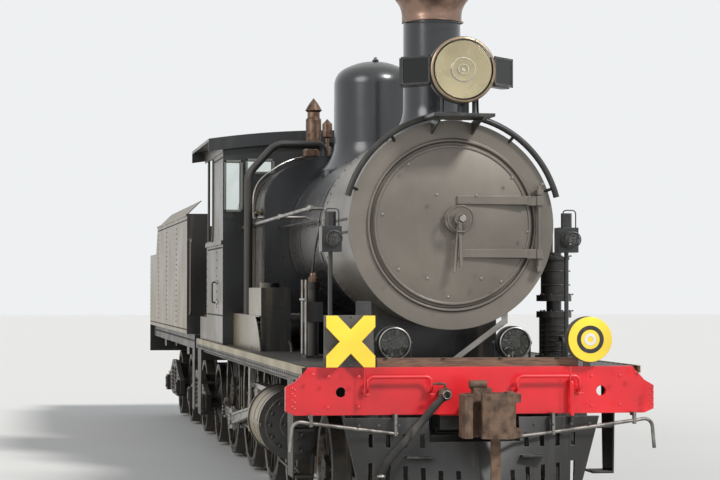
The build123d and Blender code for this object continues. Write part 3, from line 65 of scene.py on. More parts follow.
# The two lines square to each axis
SQUARE = {"X": "YZ", "Y": "XZ", "Z": "XY"}
FORWARD = Vector((0, -1, 0))
BACKWARD = AXIS["Y"]
UPWARD = AXIS["Z"]
OUT = {side: Vector((side, 0, 0)) for side in SIDES}

# Noise patterns: scale per metre, detail and, where it isn't even, the stretch along the axes
BROAD = (1.6, 5)
DENTS = (3.5, 2)
ENAMEL_GRAIN = (45, 4)
METAL_GRAIN = (90, 4)
WHEEL_GRAIN = (70, 4)
STREAKS = (9, 4, (1, 1, 0.08))
GRIME = (12, 5)
GLASS_DUST = (14, 4)
# The radius by which the shaders round edges, on painted and on bare metal
PAINT_EDGE = 0.006
METAL_EDGE = 0.004
# How dark the paint's darker patches are, and how rough dust and the clear coat make it
PATCH_SHARE = 0.62
DUST_ROUGHNESS = 0.35
COAT_ROUGHNESS = 0.22
UNDERSIDE_BLACK = "#1b1a18"
# How near points are merged, and the angles in degrees up to which faces are shaded as one
MERGE_DISTANCE = 1e-5
TURNED_CREASE = 35
BAR_CREASE = 50


def at(x: float, s: float, z: float) -> Vector:
    """Returns the scene's point of a drawing point."""
    return Vector((x, FRONT + s, RAIL + z))


def route(*points: Point, side: int = 1) -> list[Vector]:
    """Returns the scene's points of several drawing points, X counted towards one side."""
    return [at(side * x, s, z) for x, s, z in points]


def leaning(turn: float) -> Vector:
    """Returns the direction square to Y at a turn in degrees from upright towards X."""
    return Vector((sin(radians(turn)), 0, cos(radians(turn))))


# Colour and node helpers
def linear(code: str) -> tuple[float, float, float, float]:
    """Turns an sRGB hex colour into linear RGBA.

    Args:
        code: A colour as # and six hex digits.

    Returns:
        Linear red, green, blue and an alpha of one.
    """
    parts = [int(code[i:i + 2], 16) / 255 for i in (1, 3, 5)]
    low, slope, shift, power = 0.04045, 12.92, 0.055, 2.4
    return tuple(p / slope if p <= low else ((p + shift) / (1 + shift)) ** power for p in parts) + (1.0,)


def feed(tree: Any, node: Any, inputs: dict[Any, Any]) -> None:
    """Gives a node's inputs their values or links, by input name or number."""
    for name, value in inputs.items():
        if isinstance(value, bpy.types.NodeSocket):
            tree.links.new(value, node.inputs[name])
        else:
            node.inputs[name].default_value = value


def add_node(tree: Any, kind: str, inputs: dict[Any, Any] | None = None, **settings: Any) -> Any:
    """Adds one node with its settings, values and links.

    Args:
        tree: The node tree that gets the node.
        kind: The node's type name.
        inputs: Values or output sockets by input name or number.
        **settings: Properties of the node itself.

    Returns:
        The new node.
    """
    made = tree.nodes.new(kind)
    for name, value in settings.items():
        setattr(made, name, value)
    feed(tree, made, inputs or {})
    return made


def new_material(name: str) -> tuple[Any, Any, Any, Any]:
    """Makes a material and returns it, its tree, its bare shader and the socket of the object's place.

    Args:
        name: The material's name.

    Returns:
        The material, its tree, its shader and the socket of the place.
    """
    material = bpy.data.materials.new(name)
    material.use_nodes = True
    tree = material.node_tree
    tree.nodes.clear()
    shader = add_node(tree, "ShaderNodeBsdfPrincipled")
    add_node(tree, "ShaderNodeOutputMaterial", {"Surface": shader.outputs["BSDF"]})
    return material, tree, shader, add_node(tree, "ShaderNodeTexCoord").outputs["Object"]


def noise(tree: Any, coords: Any, scale: float, detail: float, stretch: Point = (1, 1, 1)) -> Any:
    """Returns the factor socket of a noise read at a scale per metre and stretched along the axes.

    Args:
        tree: The material's node tree.
        coords: The socket of the place.
        scale: Waves per metre.
        detail: How many finer layers it has.
        stretch: The scale along each axis.

    Returns:
        The factor's socket.
    """
    mapped = add_node(tree, "ShaderNodeMapping", {"Vector": coords, "Scale": stretch})
    made = add_node(tree, "ShaderNodeTexNoise",
                    {"Vector": mapped.outputs["Vector"], "Scale": scale, "Detail": detail})
    return made.outputs["Fac"]


def ramp(tree: Any, value: Any, low: float, high: float, to_low: float = 0.0, to_high: float = 1.0) -> Any:
    """Returns the socket of a value mapped from one range to another, clamped."""
    made = add_node(tree, "ShaderNodeMapRange",
                    {"Value": value, "From Min": low, "From Max": high, "To Min": to_low, "To Max": to_high})
    return made.outputs["Result"]


def mix(tree: Any, factor: Any, first: Any, second: Any) -> Any:
    """Returns the colour socket of two colours mixed by a factor."""
    made = add_node(tree, "ShaderNodeMix", {0: factor, 6: first, 7: second}, data_type="RGBA")
    return made.outputs[2]


def combine(tree: Any, operation: str, first: Any, second: Any) -> Any:
    """Returns the socket of two values put together by a maths operation."""
    return add_node(tree, "ShaderNodeMath", {0: first, 1: second}, operation=operation).outputs[0]


def times(tree: Any, first: Any, second: Any) -> Any:
    """Returns the socket of two values multiplied."""
    return combine(tree, "MULTIPLY", first, second)


def measure(tree: Any, operation: str, inputs: dict[int, Any]) -> Any:
    """Returns the value socket of a vector operation."""
    return add_node(tree, "ShaderNodeVectorMath", inputs, operation=operation).outputs["Value"]


def split(tree: Any, vector: Any) -> Any:
    """Returns the X, Y and Z sockets of a vector."""
    return add_node(tree, "ShaderNodeSeparateXYZ", {"Vector": vector}).outputs


def rounded(tree: Any, radius: float) -> Any:
    """Returns the socket of the surface's normal with the edges rounded by a radius."""
    return add_node(tree, "ShaderNodeBevel", {"Radius": radius}, samples=4).outputs["Normal"]


def bump(tree: Any, height: Any, strength: float, depth: float, normal: Any) -> Any:
    """Returns the normal socket of a relief laid over a normal."""
    return add_node(tree, "ShaderNodeBump", {"Strength": strength, "Distance": depth, "Height": height,
                                             "Normal": normal}).outputs["Normal"]


# Finishes
@dataclass(frozen=True)
class Paint:
    """Brushed or sprayed enamel on steel plate, with dust on top faces, streaks, worn edges and a painted
    reflection on outward side faces.
    """

    name: str
    colour: str
    worn: str = "#4a4744"
    dust: str = "#8a8478"
    roughness: float = 0.38
    coat: float = 0.3
    dust_amount: float = 0.35
    streaks: float = 0.35
    wear: float = 0.5
    waviness: float = 0.25
    # Colour of a painted warm reflection of ground and sky on faces that look out to the sides, and its share
    painted_reflection: str = "#8f8266"
    painted_reflection_amount: float = 0.0
    metallic: float = 0.0
    black_below: float = 0.0

    def build(self) -> Any:
        """Returns the paint's material.

        Returns:
            The material, its nodes linked.
        """
        material, tree, shader, coords = new_material(self.name)
        normal = add_node(tree, "ShaderNodeNewGeometry").outputs["Normal"]
        facing, place = split(tree, normal), split(tree, coords)
        broad, fine = noise(tree, coords, *BROAD), noise(tree, coords, *ENAMEL_GRAIN)
        run = noise(tree, coords, *STREAKS)
        base, dust = linear(self.colour), linear(self.dust)
        shade = tuple(c * PATCH_SHARE for c in base[:3]) + (1.0,)
        colour = mix(tree, ramp(tree, broad, 0.35, 0.7), base, shade)
        colour = mix(tree, ramp(tree, run, 0.55, 0.8, 0, self.streaks), colour, dust)
        gloss: Any = self.coat
        # Painted reflection: outward side faces take a warm pale colour and lose some of the coat's gloss
        if self.painted_reflection_amount:
            painted_reflection = self.painted_side_reflection(tree, facing, place, broad)
            colour = mix(tree, painted_reflection, colour, linear(self.painted_reflection))
            gloss = times(tree, combine(tree, "SUBTRACT", 1.0, painted_reflection), self.coat)
        settled = times(tree, ramp(tree, facing["Z"], 0.25, 1.0), ramp(tree, fine, 0.3, 0.75, 0.35, 1.0))
        colour = mix(tree, times(tree, settled, self.dust_amount), colour, dust)
        # The rounded normal leaves the flat one only near an edge
        round_normal = rounded(tree, PAINT_EDGE)
        turn = measure(tree, "DOT_PRODUCT", {0: round_normal, 1: normal})
        edge = times(tree, ramp(tree, turn, 0.995, 0.9), ramp(tree, fine, 0.4, 0.6))
        colour = mix(tree, times(tree, edge, self.wear), colour, linear(self.worn))
        if self.black_below:
            low = ramp(tree, place["Z"], self.black_below, self.black_below - 0.004)
            colour = mix(tree, low, colour, linear(UNDERSIDE_BLACK))
        sheen = ramp(tree, broad, 0.3, 0.75, self.roughness - 0.07, self.roughness + 0.12)
        dented = bump(tree, noise(tree, coords, *DENTS), self.waviness, 0.012, round_normal)
        rough = combine(tree, "ADD", times(tree, settled, DUST_ROUGHNESS), sheen)
        feed(tree, shader, {"Base Color": colour, "Metallic": self.metallic, "Coat Weight": gloss,
                            "Roughness": rough, "Coat Roughness": COAT_ROUGHNESS,
                            "Normal": bump(tree, fine, 0.12, 0.002, dented)})
        return material

    def painted_side_reflection(self, tree: Any, facing: Any, place: Any, broad: Any) -> Any:
        """Returns the share of a painted warm reflection of ground and sky, laid on faces that look out
        beside the track.

        Args:
            tree: The material's node tree.
            facing: The X, Y and Z sockets of the normal.
            place: The X, Y and Z sockets of the place.
            broad: The socket of the broad noise.

        Returns:
            The painted reflection's share, strongest low down.
        """
        outward = times(tree, facing["X"], place["X"])
        painted_reflection = times(tree, ramp(tree, outward, 0.5, 0.9), ramp(tree, place["Z"], 3.2, 1.2, 0.65, 1.0))
        return times(tree, painted_reflection, ramp(tree, broad, 0.3, 0.7, self.painted_reflection_amount * 0.85, self.painted_reflection_amount))


@dataclass(frozen=True)
class Metal:
    """Bare metal: machined, cast or sheet, with stains and fine scratches."""

    name: str
    colour: str
    stain: str
    roughness: float = 0.35
    stain_amount: float = 0.5
    stain_scale: float = 7.0
    metallic: float = 1.0
    grain: float = 0.15

    def build(self) -> Any:
        """Returns the metal's material.

        Returns:
            The material, its nodes linked.
        """
        material, tree, shader, coords = new_material(self.name)
        blotch, fine = noise(tree, coords, self.stain_scale, 6), noise(tree, coords, *METAL_GRAIN)
        spots = times(tree, ramp(tree, blotch, 0.42, 0.66), self.stain_amount)
        rough = ramp(tree, blotch, 0.3, 0.7, self.roughness - 0.08, self.roughness + 0.2)
        feed(tree, shader, {"Base Color": mix(tree, spots, linear(self.colour), linear(self.stain)),
                            "Roughness": rough,
                            "Normal": bump(tree, fine, self.grain, 0.003, rounded(tree, METAL_EDGE)),
                            "Metallic": self.metallic})
        return material


@dataclass(frozen=True)
class WheelFinish:
    """Black painted wheel centre inside a tyre whose tread and flange are rubbed bright by the rail."""

    name: str
    axle_s: float
    radius: float

    def build(self) -> Any:
        """Returns the wheel's material, bright outside the tread's radius.

        Returns:
            The material, its nodes linked.
        """
        material, tree, shader, coords = new_material(self.name)
        centre = at(0, self.axle_s, self.radius)
        moved = add_node(tree, "ShaderNodeMapping", {"Vector": coords, "Location": (0, -centre.y, -centre.z),
                                                     "Scale": (0, 1, 1)})
        reach = measure(tree, "LENGTH", {0: moved.outputs["Vector"]})
        tread = ramp(tree, reach, self.radius - 0.012, self.radius - 0.006)
        grime, fine = noise(tree, coords, *GRIME), noise(tree, coords, *WHEEL_GRAIN)
        black = mix(tree, ramp(tree, grime, 0.4, 0.7), linear("#26241f"), linear("#3d3428"))
        steel = mix(tree, ramp(tree, grime, 0.35, 0.65), linear("#9a9691"), linear("#5c4638"))
        feed(tree, shader, {"Base Color": mix(tree, tread, black, steel),
                            "Metallic": ramp(tree, tread, 0, 1, 0, 0.9),
                            "Roughness": ramp(tree, grime, 0.3, 0.7, 0.42, 0.62),
                            "Normal": bump(tree, fine, 0.25, 0.003, rounded(tree, PAINT_EDGE))})
        return material


@dataclass(frozen=True)
class Timber:
    """Oiled, weathered hardwood plank with its grain along one axis."""

    name: str
    colour: str
    dark: str
    along: Point = (1, 14, 14)

    def build(self) -> Any:
        """Returns the timber's material.

        Returns:
            The material, its nodes linked.
        """
        material, tree, shader, coords = new_material(self.name)
        grain = noise(tree, coords, 9, 8, self.along)
        relief = add_node(tree, "ShaderNodeBump", {"Strength": 0.5, "Distance": 0.004, "Height": grain})
        colour = mix(tree, ramp(tree, grain, 0.35, 0.65), linear(self.colour), linear(self.dark))
        feed(tree, shader, {"Base Color": colour, "Normal": relief.outputs["Normal"], "Roughness": 0.75})
        return material


@dataclass(frozen=True)
class Glass:
    """Clear lamp or window glass, faintly tinted and dusty."""

    name: str
    colour: str
    roughness: float = 0.05
    transmission: float = 1.0

    def build(self) -> Any:
        """Returns the glass's material.

        Returns:
            The material, its nodes linked.
        """
        material, tree, shader, coords = new_material(self.name)
        dust = noise(tree, coords, *GLASS_DUST)
        feed(tree, shader, {"Roughness": ramp(tree, dust, 0.4, 0.8, self.roughness, self.roughness + 0.12),
                            "Base Color": linear(self.colour), "Transmission Weight": self.transmission,
                            "IOR": 1.45})
        return material


class Shade(Enum):
    """The finishes of the engine, named for what they are."""

    # The side colours and amounts of several finishes paint a warm reflection of ground and sky on their
    # outward faces
    CHASSIS = Paint("grimy_chassis_enamel", "#171614", worn="#4b3e32", dust="#6f675b", roughness=0.45,
                    coat=0.15, dust_amount=0.3, streaks=0.2, painted_reflection="#5d4f37", painted_reflection_amount=0.35)
    BOILER = Paint("glossy_boiler_enamel", "#202124", worn="#50545a", dust="#6c675c", roughness=0.22,
                   coat=0.6, dust_amount=0.2, streaks=0.12, waviness=0.2, painted_reflection="#7c6a4c", painted_reflection_amount=0.4)
    SMOKEBOX = Paint("graphite_smokebox_paint", "#7d766c", worn="#4a463f", dust="#a1988a", roughness=0.36,
                     coat=0.2, dust_amount=0.2, streaks=0.06, wear=0.4, waviness=0.12, metallic=0.45)
    CAB = Paint("satin_cab_enamel", "#1c1d1e", worn="#55524d", dust="#6f6b64", roughness=0.34, coat=0.4,
                dust_amount=0.25, streaks=0.15, painted_reflection="#7b6b50", painted_reflection_amount=0.6)
    TENDER = Paint("dusty_tender_enamel_painted_reflection", "#211f1d", worn="#5d574c", dust="#8f8470", roughness=0.36,
                   coat=0.35, dust_amount=0.3, streaks=0.2, painted_reflection="#a08f72", painted_reflection_amount=0.8)
    CLADDING = Paint("cylinder_cladding_enamel", "#201f1d", worn="#8a7a5f", dust="#8a7d66", roughness=0.3,
                     coat=0.4, dust_amount=0.35, wear=0.7, painted_reflection="#9c8b6a", painted_reflection_amount=0.75)
    BEAM = Paint("signal_red_enamel", "#dd1c26", worn="#5b2420", dust="#b04a40", roughness=0.36, coat=0.35,
                 dust_amount=0.06, streaks=0.06, wear=0.6, waviness=0.12, black_below=0.908)
    PILOT = Paint("worn_pilot_paint", "#1c1b19", worn="#76716a", dust="#6b655c", roughness=0.45, coat=0.15,
                  dust_amount=0.2, streaks=0.2, wear=0.9)
    NUMBER_BOX = Paint("number_box_enamel", "#1f201e", worn="#8b8c86", roughness=0.4, dust_amount=0.2)
    # A pale strip along the running boards' edge and down its face
    PALE_BOARD_EDGE = Paint("pale_board_edge_paint", "#a3946f", worn="#c9bda0", roughness=0.42, coat=0.1,
                      dust_amount=0.2, wear=0.8)
    YELLOW = Paint("plate_yellow_enamel", "#f5d33a", worn="#7b6a2a", dust="#c9ba7c", roughness=0.36, coat=0.3,
                   dust_amount=0.1, streaks=0.08, waviness=0.1)
    DARK_MARK = Paint("disc_dark_ring_enamel", "#1f1e1c", worn="#5b5a55", roughness=0.36, waviness=0.1)
    PALE_MARK = Paint("disc_pale_ring_enamel", "#e3ddcf", worn="#8a857a", dust="#b8b2a4", roughness=0.36,
                      coat=0.3, dust_amount=0.15, waviness=0.1)
    PLATE = Paint("plate_grey_enamel", "#54504d", worn="#26272a", roughness=0.4, coat=0.2, dust_amount=0.2,
                  waviness=0.1)
    DIAL = Paint("dial_face_enamel", "#e4e0d2", worn="#9a9484", dust="#c3bca9", roughness=0.3, coat=0.4,
                 dust_amount=0.1, streaks=0.05, waviness=0.0)
    FRAME = Paint("window_frame_paint", "#5f635b", worn="#9da096", dust="#8f8b7c", roughness=0.4, coat=0.3,
                  dust_amount=0.2, waviness=0.05)
    STEEL = Metal("oiled_machined_steel", "#a8a5a0", "#5d4f42", 0.3, 0.45)
    COPPER = Metal("tarnished_copper", "#93796a", "#4a3a30", 0.3, 0.6, 8)
    VALVES = Metal("browned_bronze_valves", "#7d6657", "#33291f", 0.32, 0.75, 14)
    LEVER = Metal("worn_lever_steel", "#8b8883", "#3b3733", 0.42, 0.7, 10)
    BRASS = Metal("dull_brass", "#9c8658", "#53442a", 0.34, 0.55)
    RIM = Metal("tarnished_bronze_rim", "#a08d76", "#54463a", 0.3, 0.5)
    REFLECTOR = Metal("silvered_reflector", "#d8cbaa", "#8f8264", 0.2, 0.35, 4, grain=0.02)
    # Near-white rings that paint the reflection rings seen in the headlight
    LENS_REFLECTION_RINGS = Metal("painted_lens_reflection_white", "#f0ede4", "#c9c4b6", 0.16, 0.2, 6, metallic=0.6, grain=0.02)
    BOWL = Metal("fluted_lamp_bowl", "#3a3b3c", "#101010", 0.14, 0.85, 24, grain=0.5)
    RUST = Metal("rusty_cast_steel", "#66503f", "#2c2019", 0.7, 0.75, 14, metallic=0.2, grain=0.6)
    WOOD = Timber("weathered_deck_hardwood", "#7a5b48", "#4c382c")
    WINDOW = Glass("cab_window_glass", "#dfe6e2")
    LENS = Glass("pressed_lens_glass", "#f6f5ee", 0.04)
    NUMBER_GLASS = Glass("smoked_number_glass", "#161715", 0.12, transmission=0.2)
    RUBBER = Paint("matt_hose_rubber", "#1f1e1c", worn="#3a3733", roughness=0.8, coat=0.0, wear=0.3,
                   waviness=0.1)

    def material(self) -> Any:
        """Returns the one material of this finish, made when it is first asked for."""
        return bpy.data.materials.get(self.value.name) or self.value.build()


# Modelling helpers
def deselect() -> None:
    """Leaves nothing selected, in object mode."""
    if bpy.context.object and bpy.context.object.mode != "OBJECT":
        bpy.ops.object.mode_set(mode="OBJECT")
    bpy.ops.object.select_all(action="DESELECT")


def settle() -> Any:
    """Moves the active object's place, turn and size into its mesh and returns it."""
    bpy.ops.object.transform_apply(location=True, rotation=True, scale=True)
    return bpy.context.object


def join(pieces: Sequence[Any], name: str) -> Any:
    """Joins several meshes into one named object.

    Args:
        pieces: The meshes, the first of which takes up the others.
        name: The joined piece's name.

    Returns:
        The joined object.
    """
    deselect()
    for piece in pieces:
        piece.select_set(True)
    bpy.context.view_layer.objects.active = pieces[0]
    bpy.ops.object.join()
    joined = bpy.context.object
    joined.name = joined.data.name = name
    deselect()
    return joined


def dress(piece: Any, shade: Shade, body: str = "engine") -> None:
    """Gives a finished piece its material and its body.

    Args:
        piece: The finished mesh object.
        shade: Its finish.
        body: The body that carries it.
    """
    piece.data.materials.clear()
    piece.data.materials.append(shade.material())
    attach(piece, body)
    LOG.info("piece %s rides on %s", piece.name, body)


def blank() -> tuple[Any, Any]:
    """Adds an object with an empty mesh and returns it, in edit mode, and its editable mesh.

    Returns:
        The object and its editable mesh.
    """
    deselect()
    bpy.ops.mesh.primitive_plane_add(size=1)
    piece = bpy.context.object
    bpy.ops.object.mode_set(mode="EDIT")
    shape = bmesh.from_edit_mesh(piece.data)
    bmesh.ops.delete(shape, geom=list(shape.verts), context="VERTS")
    return piece, shape


def turned(name: str, outline: Sequence[Pair], centre: Vector, axis: str, steps: int = 48,
           closed: bool = False) -> Any:
    """Spins an outline of (reach along the axis, radius) points into a closed turned piece.

    Args:
        name: The piece's name.
        outline: Points from one end on the axis to the other, or round a ring's section.
        centre: Where reach and radius are nought.
        axis: X, Y or Z, the line it is turned about.
        steps: How many faces go round.
        closed: Whether the outline goes round the section of a ring.

    Returns:
        The finished object, its place in its mesh.
    """
    piece, shape = blank()
    along, out = AXIS[axis], AXIS["X" if axis == "Z" else "Z"]
    points = [shape.verts.new(centre + along * a + out * r) for a, r in outline]
    for first, second in zip(points, points[1:] + (points[:1] if closed else [])):
        shape.edges.new((first, second))
    bmesh.update_edit_mesh(piece.data)
    bpy.ops.mesh.select_all(action="SELECT")
    bpy.ops.mesh.spin(steps=steps, angle=2 * pi, center=centre, axis=along)
    bpy.ops.mesh.select_all(action="SELECT")
    bpy.ops.mesh.remove_doubles(threshold=MERGE_DISTANCE)
    bpy.ops.mesh.normals_make_consistent(inside=False)
    bpy.ops.object.mode_set(mode="OBJECT")
    piece.name = piece.data.name = name
    bpy.ops.object.shade_smooth_by_angle(angle=radians(TURNED_CREASE))
    deselect()
    return piece


def ring(name: str, reach: float, radius: float, size: Pair, centre: Vector, axis: str,
         steps: int = 48) -> Any:
    """Returns a ring of rounded section about an axis.

    Args:
        name: The piece's name.
        reach: How far along the axis the section's middle is.
        radius: The radius of the surface that the ring lies on.
        size: The section's width along the axis and its height.
        centre: Where reach and radius are nought.
        axis: X, Y or Z.
        steps: How many faces go round.

    Returns:
        The finished object.
    """
    half, high = size[0] / 2, size[1]
    section = [(reach - half, radius - high / 2), (reach - half, radius + high * 0.2),
               (reach - half * 0.55, radius + high * 0.75), (reach, radius + high),
               (reach + half * 0.55, radius + high * 0.75), (reach + half, radius + high * 0.2),
               (reach + half, radius - high / 2)]
    return turned(name, section, centre, axis, steps, closed=True)


def slab(name: str, low: Vector, high: Vector, bevel: float = 0.003) -> Any:
    """Returns a rectangular plate or bar with bevelled edges between two corners.

    Args:
        name: The piece's name.
        low: One corner.
        high: The corner across from it.
        bevel: How much the edges are bevelled.

    Returns:
        The finished object.
    """
    deselect()
    bpy.ops.mesh.primitive_cube_add(size=1, location=(low + high) / 2)
    piece = bpy.context.object
    piece.scale = [abs(b - a) for a, b in zip(low, high)]
    settle()
    bpy.ops.object.mode_set(mode="EDIT")
    bpy.ops.mesh.select_all(action="SELECT")
    bpy.ops.mesh.bevel(offset=bevel, segments=2, affect="EDGES")
    bpy.ops.object.mode_set(mode="OBJECT")
    piece.name = name
    deselect()
    return piece


def bar(name: str, points: Sequence[Vector], radius: float, bend: float = 0.0, sides: int = 4) -> Any:
    """Returns a round bar or pipe through points, its corners rounded by a bend radius.

    Args:
        name: The piece's name.
        points: Where the runs meet.
        radius: The bar's radius.
        bend: How far from each corner the rounding starts.
        sides: The bevel's resolution.

    Returns:
        The finished mesh object.
    """
    deselect()
    longest, steps = 0.45, 6
    path: list[Vector] = [points[0]]
    for before, corner, after in zip(points, points[1:], points[2:]):
        reach = min(bend, (corner - before).length * longest, (after - corner).length * longest)
        start = corner + (before - corner).normalized() * reach
        end = corner + (after - corner).normalized() * reach
        for step in range(steps + 1):
            t = step / steps
            path.append(start.lerp(corner, t).lerp(corner.lerp(end, t), t))
    path.append(points[-1])
    curve = bpy.data.curves.new(name, "CURVE")
    curve.dimensions = "3D"
    curve.bevel_depth = radius
    curve.bevel_resolution = sides
    curve.use_fill_caps = True
    spline = curve.splines.new("POLY")
    spline.points.add(len(path) - 1)
    for place, point in zip(spline.points, path):
        place.co = (*point, 1)
    holder = bpy.data.objects.new(name, curve)
    bpy.context.scene.collection.objects.link(holder)
    holder.select_set(True)
    bpy.context.view_layer.objects.active = holder
    bpy.ops.object.convert(target="MESH")
    piece = bpy.context.object
    piece.name = name
    bpy.ops.object.shade_smooth_by_angle(angle=radians(BAR_CREASE))
    deselect()
    return piece


def studs(name: str, places: Iterable[tuple[Vector, Vector]], radius: float, height: float,
          sides: int = 8) -> Any:
    """Returns one mesh of like round heads, one at each place and along its normal.

    Args:
        name: The piece's name.
        places: Pairs of a point on the surface and the outward normal there.
        radius: The head's radius.
        height: How far the head stands out.
        sides: Faces round each head.

    Returns:
        The joined object.
    """
    deselect()
    bpy.ops.mesh.primitive_cylinder_add(vertices=sides, radius=radius, depth=height, end_fill_type="TRIFAN",
                                        location=(0, 0, height / 2))
    master = settle()
    bpy.ops.object.mode_set(mode="EDIT")
    shape = bmesh.from_edit_mesh(master.data)
    # Only the edges round the top face are bevelled
    for edge in shape.edges:
        edge.select_set(all(v.co.z > height * 0.9 and v.co.xy.length > radius * 0.5 for v in edge.verts))
    bmesh.update_edit_mesh(master.data)
    bpy.ops.mesh.bevel(offset=height * 0.6, segments=2, affect="EDGES")
    bpy.ops.object.mode_set(mode="OBJECT")
    corners = [v.co.copy() for v in master.data.vertices]
    polygons = [tuple(p.vertices) for p in master.data.polygons]
    bpy.data.objects.remove(master)
    verts: list[Vector] = []
    faces: list[tuple[int, ...]] = []
    for point, normal in places:
        turn = normal.to_track_quat("Z", "Y")
        start = len(verts)
        verts.extend(point + turn @ corner for corner in corners)
        faces.extend(tuple(start + i for i in polygon) for polygon in polygons)
    mesh = bpy.data.meshes.new(name)
    mesh.from_pydata(verts, [], faces)
    piece = bpy.data.objects.new(name, mesh)
    bpy.context.scene.collection.objects.link(piece)
    return piece


def plate(name: str, outline: Sequence[Pair], near: float, far: float) -> Any:
    """Returns a flat plate of an outline of (X, Z) points, from one S to another.

    Args:
        name: The piece's name.
        outline: (X, Z) points in order.
        near: S of one face.
        far: S of the other face.

    Returns:
        The finished object.
    """
    piece, shape = blank()
    shape.faces.new([shape.verts.new(at(x, near, z)) for x, z in outline])
    bmesh.update_edit_mesh(piece.data)
    bpy.ops.mesh.select_all(action="SELECT")
    bpy.ops.mesh.extrude_region_move(TRANSFORM_OT_translate={"value": (0, far - near, 0)})
    bpy.ops.mesh.select_all(action="SELECT")
    bpy.ops.mesh.normals_make_consistent(inside=False)
    bpy.ops.object.mode_set(mode="OBJECT")
    piece.name = name
    deselect()
    return piece


def ring_places(centre: Vector, axis: str, radius: float, count: int, first: float = 0.0,
                normal: Vector | None = None) -> Places:
    """Returns places on a circle and their normals.

    Args:
        centre: The circle's centre.
        axis: X, Y or Z, the line through the centre that the circle is square to.
        radius: The circle's radius.
        count: How many places.
        first: The first one's turn in radians.
        normal: The heads' direction, or None where they point out from the centre.

    Returns:
        Pairs of a place and a normal.
    """
    one, two = SQUARE[axis]
    places = []
    for k in range(count):
        turn = first + 2 * pi * k / count
        way = AXIS[one] * cos(turn) + AXIS[two] * sin(turn)
        places.append((centre + way * radius, normal or way))
    return places


def line_places(first: Vector, last: Vector, count: int, normal: Vector) -> Places:
    """Returns evenly spaced places from one point to another, all with one normal."""
    return [(first.lerp(last, k / (count - 1)), normal) for k in range(count)]


def side_rows(x: float, rows: Iterable[tuple[float, float, float, float, int]]) -> Places:
    """Returns rows of heads on the upright sheets of both sides.

    Args:
        x: How far the sheets stand from the centre line.
        rows: S and Z of a row's first head, S and Z of its last one and their number.

    Returns:
        Pairs of a place and the outward normal.
    """
    return [place for side in SIDES for s0, z0, s1, z1, count in rows
            for place in line_places(at(side * x, s0, z0), at(side * x, s1, z1), count, OUT[side])]


def side_heads(side: int, x: float, points: Iterable[Pair]) -> Places:
    """Returns one side's places at (S, Z) points, with the outward normal."""
    return [(at(side * x, s, z), OUT[side]) for s, z in points]


def grid(ones: Iterable[float], twos: Iterable[float]) -> list[Pair]:
    """Returns every pair of a value of the first row and one of the second."""
    twos = list(twos)
    return [(one, two) for one in ones for two in twos]


def pose(piece: Any, place: Vector, turn: float) -> None:
    """Turns a piece about the upright axis, sets it at its place and settles that in its mesh."""
    piece.data.transform(Matrix.Translation(place) @ Matrix.Rotation(turn, 4, "Z"))


def strip_outline(path: Sequence[Pair], thick: float) -> list[Pair]:
    """Returns the outline of a strip that lies on a path of points and stands out by its thickness.

    Args:
        path: (X, Z) points from the positive side over the top to the negative side.
        thick: The strip's thickness.

    Returns:
        The outline, the path's points first and the outer ones back again.
    """
    outer = []
    for k, (x, z) in enumerate(path):
        before, after = path[max(k - 1, 0)], path[min(k + 1, len(path) - 1)]
        run, rise = after[0] - before[0], after[1] - before[1]
        length = hypot(run, rise)
        outer.append((x + rise / length * thick, z - run / length * thick))
    return list(path) + outer[::-1]


def roof_arc(half: float, edge: float, crown: float, count: int) -> list[Pair]:
    """Returns (X, Z) points over a roof's arc, from the positive side to the negative.

    Args:
        half: Half the roof's width.
        edge: Z of its edges.
        crown: Z of its middle.
        count: How many points.

    Returns:
        The points from the positive side to the negative.
    """
    sweep = crown - edge
    radius = (half ** 2 + sweep ** 2) / (2 * sweep)
    reach = asin(half / radius)
    turns = [reach - 2 * reach * k / (count - 1) for k in range(count)]
    return [(radius * sin(t), crown - radius + radius * cos(t)) for t in turns]


def border(left: float, right: float, low: float, top: float, thick: float) -> list[tuple[float, ...]]:
    """Returns the four strips along a rectangle's edge, each as left, right, low and top."""
    return [(left, left + thick, low, top), (right - thick, right, low, top),
            (left, right, low, low + thick), (left, right, top - thick, top)]


def handwheel(centre: Vector, radius: float) -> list[Any]:
    """Returns the rim, hub and spokes of a valve wheel that faces the rear.

    Args:
        centre: The middle of its rim.
        radius: The rim's radius.

    Returns:
        Its pieces, not yet joined.
    """
    hub = ((-0.008, 0), (-0.008, radius * 0.26), (0.010, radius * 0.26), (0.014, radius * 0.12), (0.014, 0))
    pieces = [ring("rim", 0, radius, (radius * 0.24, radius * 0.13), centre, "Y", 24),
              turned("hub", hub, centre, "Y", 12)]
    for turn in (0, 120, 240):
        pieces.append(bar("spoke", [centre, centre + leaning(turn) * radius], radius * 0.09, sides=2))
    return pieces


